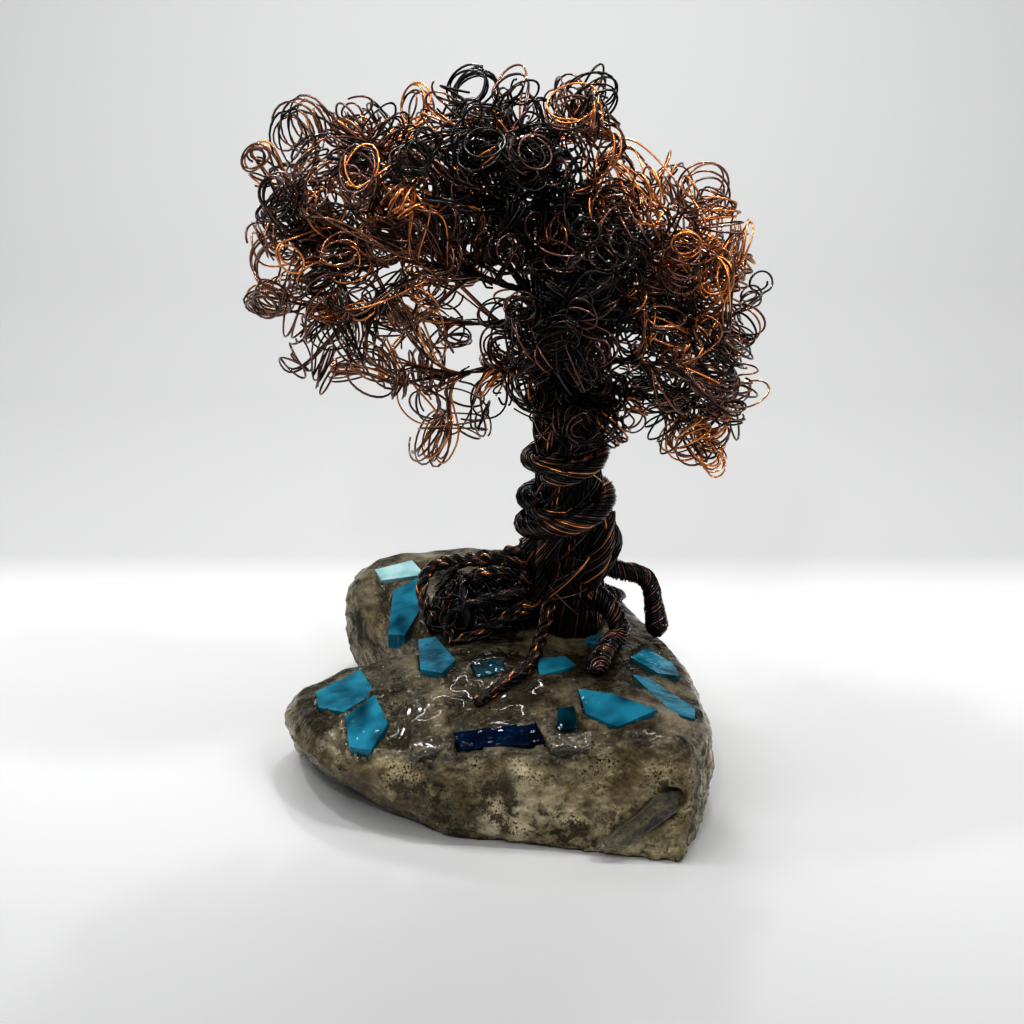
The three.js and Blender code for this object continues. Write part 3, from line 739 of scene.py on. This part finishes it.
def bound_wires(path, thickness, wires, wire, lay, rng):
    """Paths of wires wound side by side round a core, one turn for each lay of length."""
    run = length_of(path)
    fine = even(path, max(24, int(run / lay * 14)))
    half = np.interp(np.linspace(0, 1, len(fine)), np.linspace(0, 1, len(path)), thickness) / 2
    side, up = path_frames(fine)
    turn = 2 * np.pi * np.linspace(0, run, len(fine)) / lay
    made = []
    for number in range(wires):
        angle = turn + 2 * np.pi * (number + rng.uniform(-0.3, 0.3)) / wires
        out = np.cos(angle)[:, None] * side + np.sin(angle)[:, None] * up
        reach = half - wire / 2 + rng.uniform(-0.3, 0.3) * wire
        made.append(fine + reach[:, None] * out)
    return np.array(made)


def wire_tones(rng, number, copper, brown):
    """Tones of wires: mostly near black, then the given shares of brown and of copper."""
    pick = rng.uniform(0, 1, number)
    tones = rng.uniform(0.0, 0.25, number)
    tones = np.where(pick < copper + brown, rng.uniform(0.4, 0.7, number), tones)
    return np.where(pick < copper, rng.uniform(0.8, 1.0, number), tones)


def rope_object(name, path, thickness, strands, wires, rng, lay, wire_lay=13 * MM, copper=0.0, brown=0.22):
    """A rope of wire round a dark core of painted shade, which stands for its inner wires; a single strand
    is a core bound with a coil.
    """
    wire = bpy.context.scene.tree_wire.diameter
    if strands == 1:
        routes = bound_wires(path, thickness, wires, wire, lay, rng)
        core_share = 0.5 - 0.9 * wire / float(np.mean(thickness))
    else:
        routes = rope_wires(path, thickness, strands, wires, wire, lay, wire_lay, rng.uniform(0, 6))
        core_share = 0.3
    tones = wire_tones(rng, len(routes), copper, brown)
    skin = tube_object(name, routes, wire / 2, WIRE_SIDES, tones, materials()["wire"])
    core_radius = thickness[None] * core_share
    core = tube_object(name + "_core", path[None], core_radius, CORE_SIDES, [0], materials()["core"])
    return join([skin, core], name)


def trunk_share(z):
    return np.clip((z - TRUNK_BASE) / (TRUNK_TOP - TRUNK_BASE), 0, 1)


def trunk_radius(z):
    return (TRUNK_RADIUS - TRUNK_TAPER * trunk_share(z) ** 2.5) * MM


def trunk_centre(z):
    """Centre of the trunk at a height: it leans to the left as it climbs."""
    return np.array([TRUNK_X + TRUNK_LEAN * trunk_share(z) ** 2, TRUNK_Y, z])


def round_trunk(heights, angles, radii):
    """A path at those heights, bearings and distances from the trunk's centre."""
    centres = np.array([trunk_centre(z) for z in heights])
    return centres + radii[:, None] * np.stack([np.cos(angles), np.sin(angles), 0 * angles], -1)


def chip_edges():
    """Points along the edges of the glass chips, and the middle of the chip for each."""
    spots = []
    middles = []
    for name, node in frame["nodes"].items():
        if not name.startswith("chip"):
            continue
        corners = [vertex.co for vertex in node.data.vertices]
        middle = sum(corners, Vector((0, 0, 0))) / len(corners)
        for edge in node.data.edges:
            a, b = (node.data.vertices[v].co for v in edge.vertices)
            steps = max(2, int((b - a).length / (0.5 * MM)))
            spots.extend(a.lerp(b, step / steps) for step in range(steps + 1))
            middles.extend([middle] * (steps + 1))
    tree = KDTree(len(spots))
    for number, spot in enumerate(spots):
        tree.insert(spot, number)
    tree.balance()
    return tree, middles


class SCULPTURE_OT_stone(bpy.types.Operator):
    """Makes the rough, resin-coated stone over its solid"""

    bl_idname = "sculpture.stone"
    bl_label = "Stone"

    def execute(self, context):
        settings = context.scene.tree_stone
        piece = add_object("stone_casting", frame["nodes"]["stone_heart"].data.copy())
        remesh = piece.modifiers.new("grain", "REMESH")
        remesh.mode = "VOXEL"
        remesh.voxel_size = settings.grain
        smooth = piece.modifiers.new("soften", "SMOOTH")
        smooth.factor = 0.5
        smooth.iterations = 3
        evaluated = piece.evaluated_get(context.evaluated_depsgraph_get())
        fine = bpy.data.meshes.new_from_object(evaluated)
        piece.modifiers.clear()
        piece.data = fine
        self.roughen(fine, settings.relief)
        fine.materials.clear()
        fine.materials.append(materials()["stone"])
        fine.polygons.foreach_set("use_smooth", np.ones(len(fine.polygons), bool))
        finish_piece(piece, "stone_heart")
        return {"FINISHED"}

    def roughen(self, mesh, relief):
        """Moves the cement in and out, and raises a bead of resin that laps over each chip's edge."""
        count = len(mesh.vertices)
        points = np.empty(count * 3)
        mesh.vertices.foreach_get("co", points)
        points = points.reshape(-1, 3)
        normals = np.empty(count * 3)
        mesh.vertex_normals.foreach_get("vector", normals)
        normals = normals.reshape(-1, 3)
        edges, middles = chip_edges()
        moved = points.copy()
        wall = np.zeros(count)
        for i, (point, normal) in enumerate(zip(points, normals)):
            place = Vector(point)
            steep = 1 - min(abs(normal[2]) * 1.25, 1)
            push = self.cement(place, steep, relief)
            inward = Vector((0, 0, 0))
            _, number, near = edges.find(place)
            if near < BEAD_REACH:
                share = (1 - near / BEAD_REACH) ** 1.5
                push += (BEAD_ON_TOP if steep < 0.7 else BEAD_ON_WALL) * share
                inward = (middles[number] - place).normalized() * share
                inward *= (0.6 + 1.6 * noise.noise(place * 300)) * MM
            if place.z < 0.6 * MM:
                push = min(push, 0) * 0.3
            moved[i] = point + normal * push + np.array(inward)
            wall[i] = steep
        moved[:, 2] = np.maximum(moved[:, 2], 0)
        mesh.vertices.foreach_set("co", moved.ravel())
        attribute = mesh.attributes.new("wall", "FLOAT", "POINT")
        attribute.data.foreach_set("value", wall)
        mesh.update()

    def cement(self, place, steep, relief):
        """How far the cement stands out: lumps, ripples, grit, and flakes low on the wall."""
        lumps = noise.fractal(place * 55, 1.0, 2.0, 3)
        ripple = noise.noise(place * 150)
        grit = noise.fractal(place * 420, 0.9, 2.1, 3)
        flakes = noise.noise(Vector((place.x * 260, place.y * 260, place.z * 620)))
        low = max(0.0, 1 - place.z / (9 * MM))
        push = relief * (0.7 * lumps + 0.35 * ripple + (0.05 + 0.4 * steep) * grit)
        return push + steep * relief * (0.5 + 1.4 * low) * (flakes - 0.2 * low)


class SCULPTURE_OT_glass(bpy.types.Operator):
    """Finishes the chips of blue and clear glass"""

    bl_idname = "sculpture.glass"
    bl_label = "Glass chips"

    def execute(self, context):
        slots = {entry["node"]: entry["material_slot"] for entry in frame["record"]["subparts"]}
        for name, node in frame["nodes"].items():
            if not name.startswith("chip"):
                continue
            for slot in node.material_slots:
                slot.material = materials()[slots[name]]
            bevel = node.modifiers.new("worn edges", "BEVEL")
            bevel.width = 0.45 * MM
            bevel.segments = 2
            bevel.limit_method = "ANGLE"
            bevel.angle_limit = math.radians(35)
        return {"FINISHED"}


class SCULPTURE_OT_trunk(bpy.types.Operator):
    """Makes the trunk as a thick rope of many wires with loose lashings"""

    bl_idname = "sculpture.trunk"
    bl_label = "Trunk"

    def execute(self, context):
        rng = np.random.default_rng(11)
        wire = context.scene.tree_wire.diameter
        heights = np.linspace(TRUNK_BASE - 2 * MM, TRUNK_TOP, 110)
        path = np.array([trunk_centre(z) for z in heights])
        thickness = 2 * trunk_radius(heights)
        rope = rope_object(
            "trunk_rope", path, thickness, TRUNK_STRANDS, STRAND_WIRES, rng,
            lay=90 * MM, wire_lay=48 * MM, copper=0.04,
        )
        # Painted shade: a dark tube inside the trunk's strands, where its inner wires would lie in shade.
        core_radius = 0.42 * thickness[None]
        core = tube_object("trunk_core", path[None], core_radius, 2 * CORE_SIDES, [0], materials()["core"])
        lashings = [self.lashing(rng) for _ in range(LASHINGS)]
        tones = wire_tones(rng, LASHINGS, 0.06, 0.4)
        skin = tube_object("lashings", lashings, wire / 2, WIRE_SIDES, tones, materials()["wire"])
        ribs = [self.rib(name, rng) for name in ROOTS if name not in LOW_ROOTS]
        pieces = [rope, core, skin, self.shoulder(rng), *ribs]
        finish_piece(join(pieces, "trunk_rope"), "trunk")
        return {"FINISHED"}

    def shoulder(self, rng):
        """The bend of rope on the right, thickest in the middle."""
        path = smooth_path(np.array(SHOULDER) * MM, 34)
        thickness = (4.5 + 2.5 * np.sin(np.linspace(0, np.pi, len(path)))) * MM
        return rope_object("shoulder", path, thickness, 1, 17, rng, lay=30 * MM, copper=0.04)

    def rib(self, name, rng):
        """The stretch of a root's rope that runs up the trunk to the bands."""
        thick, _, route, _, _ = ROOTS[name]
        first, second = (np.array(point) * MM for point in route[:2])
        bearing = math.atan2(first[1] - TRUNK_Y, first[0] - TRUNK_X)
        climb = []
        for z, turn, lift in ((80, 0.7, 1.2), (70, 0.4, 2.4)):
            out = np.array([math.cos(bearing + turn), math.sin(bearing + turn), 0])
            climb.append(trunk_centre(z * MM) + (trunk_radius(z * MM) + lift * MM) * out)
        path = smooth_path([*climb, 0.75 * first + 0.25 * second, 0.4 * first + 0.6 * second], 34)
        thickness = np.linspace(1.05, 1.15, len(path)) * thick * MM
        return rope_object("rib_" + name, path, thickness, 1, 20, rng, lay=34 * MM, copper=0.06)

    def lashing(self, rng):
        """A wire drawn aslant round part of the trunk, over its strands."""
        share = np.linspace(0, 1, 34)
        low = rng.uniform(42, 82) if rng.uniform() < 0.7 else rng.uniform(100, 130)
        rise = rng.uniform(8, 30) * rng.choice([-1, 1, 1])
        z = (low + (abs(rise) if low + rise < 44 else rise) * share) * MM
        angle = rng.uniform(0, 2 * np.pi) + rng.uniform(1.2, 3.2) * share
        lift = (0.2 + 0.9 * np.sin(np.pi * share) ** 0.5 * rng.uniform(0.3, 1)) * MM
        return round_trunk(z, angle, trunk_radius(z) + lift)


class SCULPTURE_OT_roots(bpy.types.Operator):
    """Makes each root as a rope of wire, and the tangle between them"""

    bl_idname = "sculpture.roots"
    bl_label = "Roots"

    def execute(self, context):
        rng = np.random.default_rng(23)
        wire = context.scene.tree_wire.diameter
        for name, (thick, thin, route, strands, wires) in ROOTS.items():
            path = smooth_path(np.array(route) * MM, 70)
            share = np.linspace(0, 1, len(path))
            thickness = (thick + (thin - thick) * share) * MM
            lay = 15 * MM
            copper = 0.05
            if strands == 1:
                swell = 1 + 0.3 * np.clip(share - 0.7, 0, 0.2) / 0.2
                thickness *= swell * np.clip((1 - share) / 0.06, 0.1, 1) ** 0.5
                lay = COIL_ROOM * wires * wire
                copper = 0.1
            piece = rope_object(
                name + "_rope", path, thickness, strands, wires, rng,
                lay=lay, wire_lay=8 * MM, copper=copper,
            )
            finish_piece(piece, name)
        self.tangle(rng, wire)
        return {"FINISHED"}

    def tangle(self, rng, wire):
        """A dark heap of painted shade with loops of wire all over it and ropes across it."""
        middle, half = (np.array(part) * MM for part in TANGLE)
        heap = self.heap(Vector(middle))
        loops = []
        while len(loops) < TANGLE_LOOPS:
            out = unit(rng.normal(size=3))
            if out[2] >= -0.1:
                loops.append(self.loop(rng, middle, half, out))
        tones = wire_tones(rng, len(loops), 0, 0.04)
        skin = tube_object("tangle_loops", loops, wire / 2, WIRE_SIDES, tones, materials()["wire"])
        arcs = []
        for route in TANGLE_ROPES:
            path = smooth_path(np.array(route) * MM, 40)
            thickness = np.linspace(4, 3, len(path)) * MM
            arcs.append(rope_object("tangle_rope", path, thickness, 2, 6, rng, lay=14 * MM, brown=0.12))
        finish_piece(join([skin, heap, *arcs], "tangle_wires"), "root_tangle")

    def heap(self, middle):
        """The solid of the tangle, a little smaller, as its dark inside: painted shade where its inner loops
        lie.
        """
        mesh = frame["nodes"]["root_tangle"].data.copy()
        for vertex in mesh.vertices:
            vertex.co = middle + (vertex.co - middle) * 0.86
        mesh.materials.clear()
        mesh.materials.append(materials()["core"])
        return add_object("tangle_painted_shade", mesh)

    def loop(self, rng, middle, half, out):
        """A loop of wire on the heap, on the side where out points."""
        centre = middle + half * out * rng.uniform(0.84, 0.98)
        normal = unit(out * rng.uniform(0.0, 1.0) + 0.8 * rng.normal(size=3))
        first = unit(np.cross(normal, rng.normal(size=3)))
        second = np.cross(normal, first)
        angle = np.linspace(0, 2 * np.pi * rng.uniform(0.6, 1.5), 30)
        size = rng.uniform(1.8, 5.2) * MM * (1 + 0.2 * np.sin(angle * 0.7))
        rise = normal * (angle * rng.uniform(-0.4, 0.4) * MM)[:, None]
        sideways = (size * np.cos(angle))[:, None] * first
        return centre + sideways + (size * np.sin(angle))[:, None] * second + rise


class SCULPTURE_OT_wraps(bpy.types.Operator):
    """Makes the bands of rope bound round the trunk"""

    bl_idname = "sculpture.wraps"
    bl_label = "Bands"

    def execute(self, context):
        rng = np.random.default_rng(31)
        for name, (height, thickness, start, tilt, bulge) in WRAPS.items():
            outer = self.band(name, rng, height, 1.12 * thickness, start, tilt, 0.85 * bulge)
            inner = self.band(name, rng, height - 1, 0.8 * thickness, start + 70, tilt, -0.1)
            finish_piece(join([outer, inner], name + "_rope"), name)
        return {"FINISHED"}

    def band(self, name, rng, height, thickness, start, tilt, bulge):
        """One rope wound round the trunk, with its ends tucked in."""
        share = np.linspace(0, 1, 90)
        angle = np.radians(start + 360 * WRAP_TURNS * share)
        z = (height + tilt * thickness * np.cos(angle) + 1.1 * thickness * (share - 0.5)) * MM
        left, right = (np.clip(part, 0, 1) ** 3 for part in (-np.cos(angle + 0.2), np.cos(angle + 0.2)))
        tuck = 1 - np.clip(np.minimum(share, 1 - share) / 0.12, 0, 1)
        radius = trunk_radius(z) + (0.4 + bulge * left - 0.12 * right - 0.9 * tuck**2) * thickness * MM
        width = np.full(len(share), thickness * MM)
        wires = round(math.pi * thickness * MM / (1.3 * bpy.context.scene.tree_wire.diameter))
        path = round_trunk(z, angle, radius)
        return rope_object(name + "_rope", path, width, 1, wires, rng, lay=24 * MM, copper=0.07)


def lock_paths(rng, start, heading, centre, axis, radius, turns, number, wire, steps):
    """Wires of one lock: they leave the bough side by side and end in a springy coil."""
    travel = centre - start
    reach = max(float(np.linalg.norm(travel)), 5 * MM)
    ahead = unit(travel - (travel @ axis) * axis + 0.25 * reach * rng.normal(size=3))
    ahead = unit(ahead - (ahead @ axis) * axis)
    aside = np.cross(ahead, axis)
    drift = rng.uniform(1.0, 4.5) * MM * rng.choice([-1, 1])
    growth = rng.uniform(-0.4, 0.2)
    stretch = rng.uniform(0.85, 1.15)
    sway = rng.normal(size=(3, 2)) * 0.7 * MM
    sway_start = rng.uniform(0, 6, 3)
    gap = wire * rng.uniform(1.05, 2.4)
    made = []
    for place in range(number):
        own = turns * rng.uniform(0.75, 1.15)
        across = unit(aside + 0.28 * rng.normal(size=3))
        onward = np.cross(axis, across)
        angle = np.linspace(0, 2 * np.pi * own, 60)
        phase = angle + rng.normal() * 0.26
        loop = radius * (1 + 0.07 * rng.normal()) * (1 + growth * angle / (2 * np.pi * turns))
        wave = sum(np.sin(0.6 * (k + 1) * angle[:, None] + sway_start) * sway[:, k] for k in range(2))
        along = (place - (number - 1) / 2) * gap + drift * (angle / (2 * np.pi) - turns / 2)
        coil = (
            centre
            + rng.normal(size=3) * 1.3 * MM
            + (loop * np.cos(phase))[:, None] * across
            + (stretch * loop * np.sin(phase))[:, None] * onward
            + along[:, None] * axis
            + wave
        )
        first = start + rng.normal(size=3) * wire * 1.1
        share = np.linspace(0, 1, 26, endpoint=False)[:, None]
        pull = (0.3 + 0.12 * rng.uniform()) * reach
        a = first + heading * pull
        b = coil[0] - unit(coil[1] - coil[0]) * pull
        sweep = (
            (1 - share) ** 3 * first
            + 3 * share * (1 - share) ** 2 * a
            + 3 * share**2 * (1 - share) * b
            + share**3 * coil[0]
        )
        made.append(even(np.vstack([sweep, coil]), steps))
    return made


class SCULPTURE_OT_crown(bpy.types.Operator):
    """Makes the boughs and their locks of curling wire"""

    bl_idname = "sculpture.crown"
    bl_label = "Crown"

    def execute(self, context):
        crown = context.scene.tree_crown
        wire = context.scene.tree_wire.diameter
        rng = np.random.default_rng(crown.seed)
        stems = {name: self.stem(points) for name, points in BOUGHS.items()}
        locks = {name: {} for name in BOUGHS}
        for middle, half, count, copper, level, size in CLOUDS:
            count = round(count * crown.density)
            for centre in self.scatter(rng, np.array(middle) * MM, np.array(half) * MM, count):
                name = self.nearest(stems, centre, rng)
                steps, paths, tones = self.lock(rng, stems[name], centre, copper, level, size)
                all_paths, all_tones = locks[name].setdefault(steps, ([], []))
                all_paths.extend(paths)
                all_tones.extend(tones)
        for name, stem in stems.items():
            width = np.interp(np.linspace(0, 1, STEM_POINTS), [0, 0.25, 1], [4.0, 2.8, 1.4]) * MM
            bare = rope_object(name + "_stem", stem[::2], width[::2], 2, 6, rng, lay=30 * MM, copper=0.08)
            pieces = [bare]
            for steps, (paths, tones) in locks[name].items():
                label = f"{name}_locks_{steps}"
                pieces.append(tube_object(label, paths, wire / 2, WIRE_SIDES, tones, materials()["wire"]))
            finish_piece(join(pieces, name + "_wires"), name)
        return {"FINISHED"}

    def lock(self, rng, stem, centre, copper, level, size):
        """One lock from a stem to its curl: how many points its wires have, their paths and tones."""
        gaps = np.linalg.norm(stem[PICK_PLACE_FROM:] - centre, axis=1)
        at = int(max(LEAVE_FROM, PICK_PLACE_FROM + int(np.argmin(gaps)) - rng.uniform(0, 14)))
        after = min(at + 1, STEM_POINTS - 1)
        heading = unit(unit(stem[after] - stem[at - 1]) + 0.35 * rng.normal(size=3))
        axis = unit(rng.normal(size=3) * (1 - 0.8 * level) + level * np.array([0, 0, 1.6]))
        scene = bpy.context.scene
        radius = scene.tree_crown.curl_diameter / 2 * size * rng.uniform(0.62, 1.15)
        turns = rng.uniform(0.8, 2.3)
        number = int(rng.choice([1, 2, 2, 3, 3, 4]))
        steps = 38 if turns < 1.4 else 54
        wire = scene.tree_wire.diameter
        paths = lock_paths(rng, stem[at], heading, centre, axis, radius, turns, number, wire, steps)
        return steps, paths, self.tones(rng, number, copper)

    def scatter(self, rng, middle, half, count):
        """Places spread evenly through an ellipsoid, each as far as it can be from the others."""
        places = np.empty((0, 3))
        for _ in range(count):
            spots = unit(rng.normal(size=(8, 3))) * rng.uniform(0.08, 1.0, (8, 1)) ** 0.4
            tries = middle + spots * half
            if len(places):
                gaps = np.linalg.norm(tries[:, None] - places, axis=2).min(axis=1)
                tries = tries[[int(np.argmax(gaps))]]
            places = np.vstack([places, tries[:1]])
        return places

    def stem(self, points):
        """A stem that climbs along the trunk before it forks."""
        curve = quadratic(points, STEM_POINTS)
        out = unit((curve[-1] - curve[0]) * np.array([1, 1, 0]))
        fork = curve[0][2]
        low = max(fork - 30 * MM, STEM_FOOT)
        foot = [trunk_centre(z) + out * trunk_radius(z) * 0.95 for z in (low, 0.5 * (low + fork))]
        return smooth_path([*foot, curve[12], curve[26], curve[42], curve[-1]], STEM_POINTS)

    def tones(self, rng, number, copper):
        """Tones of one lock: where copper is common, some locks are nearly all copper."""
        share = 0.6 if rng.uniform() < 0.5 * copper else 0.6 * copper
        return wire_tones(rng, number, share, 0.12 + 1.8 * min(copper, 0.3))

    def nearest(self, stems, centre, rng):
        """The bough that comes closest to a curl, with a little chance in it."""
        gaps = {}
        for name, stem in stems.items():
            gap = np.linalg.norm(stem[PICK_BOUGH_FROM:] - centre, axis=1).min()
            gaps[name] = gap * rng.uniform(0.85, 1.25)
        return min(gaps, key=gaps.get)


class SCULPTURE_OT_stage(bpy.types.Operator):
    """Sets the floor, the soft light and the camera"""

    bl_idname = "sculpture.stage"
    bl_label = "Stage"

    def execute(self, context):
        scene = context.scene
        self.floor()
        for name, (place, target, size, power) in LIGHTS.items():
            self.light(name, place, target, size, power)
        scene.world = bpy.data.worlds.new("studio")
        scene.world.use_nodes = True
        sky = scene.world.node_tree.nodes["Background"]
        sky.inputs["Color"].default_value = SKY_COLOUR
        sky.inputs["Strength"].default_value = SKY_STRENGTH
        scene.view_settings.view_transform = "Standard"
        scene.view_settings.look = "High Contrast"
        self.camera(scene.tree_stage)
        return {"FINISHED"}

    def camera(self, stage):
        """A camera that looks down at the sculpture from the front."""
        data = bpy.data.cameras.new("camera")
        data.lens = stage.lens
        data.sensor_width = 36
        camera = add_object("camera", data)
        camera.location = (stage.aside, -stage.distance, stage.height)
        camera.rotation_euler = (math.pi / 2 - stage.pitch, 0, 0)
        bpy.context.scene.camera = camera

    def floor(self):
        """A pale floor that curves up into a backdrop."""
        curve = np.linspace(0.15, math.pi / 2, 10)
        depth = [-2.5, 0.45, *(0.45 + 0.35 * math.sin(a) for a in curve), 0.8]
        rise = [0, 0, *(0.35 * (1 - math.cos(a)) for a in curve), 2.2]
        verts = [(x, y, z) for x in (-3, 3) for y, z in zip(depth, rise)]
        n = len(depth)
        faces = [(i, i + n, i + n + 1, i + 1) for i in range(n - 1)]
        mesh = bpy.data.meshes.new("floor")
        mesh.from_pydata(verts, [], faces)
        mesh.polygons.foreach_set("use_smooth", np.ones(len(faces), bool))
        mesh.materials.append(floor_surface())
        add_object("floor", mesh)

    def light(self, name, place, target, size, power):
        """A rectangular light that faces its target."""
        data = bpy.data.lights.new(name, "AREA")
        data.shape = "RECTANGLE"
        data.size, data.size_y = size
        data.energy = power
        lamp = add_object(name, data)
        lamp.location = place
        lamp.rotation_euler = (Vector(target) - Vector(place)).to_track_quat("-Z", "Y").to_euler()


class SCULPTURE_PT_panel(bpy.types.Panel):
    """Lists the makers of the sculpture's pieces"""

    bl_label = "Wire tree"
    bl_idname = "SCULPTURE_PT_panel"
    bl_space_type = "VIEW_3D"
    bl_region_type = "UI"
    bl_category = "Wire tree"

    def draw(self, context):
        for key in SETTINGS:
            box = self.layout.box()
            group = getattr(context.scene, key)
            for name in group.__annotations__:
                box.prop(group, name)
        for operator in OPERATORS:
            self.layout.operator(operator.bl_idname)


SETTINGS = {
    "tree_wire": WireSettings,
    "tree_crown": CrownSettings,
    "tree_stone": StoneSettings,
    "tree_stage": StageSettings,
}
OPERATORS = [
    SCULPTURE_OT_stone,
    SCULPTURE_OT_glass,
    SCULPTURE_OT_trunk,
    SCULPTURE_OT_roots,
    SCULPTURE_OT_wraps,
    SCULPTURE_OT_crown,
    SCULPTURE_OT_stage,
]


def register():
    for group in (*SETTINGS.values(), *OPERATORS, SCULPTURE_PT_panel):
        bpy.utils.register_class(group)
    for key, group in SETTINGS.items():
        setattr(bpy.types.Scene, key, bpy.props.PointerProperty(type=group))


def unregister():
    for key in SETTINGS:
        delattr(bpy.types.Scene, key)
    for group in reversed((*SETTINGS.values(), *OPERATORS, SCULPTURE_PT_panel)):
        bpy.utils.unregister_class(group)


def main():
    """Makes every piece in order."""
    register()
    bpy.ops.sculpture.stone()
    bpy.ops.sculpture.glass()
    bpy.ops.sculpture.trunk()
    bpy.ops.sculpture.roots()
    bpy.ops.sculpture.wraps()
    bpy.ops.sculpture.crown()
    bpy.ops.sculpture.stage()


if __name__ == "__main__":
    main()
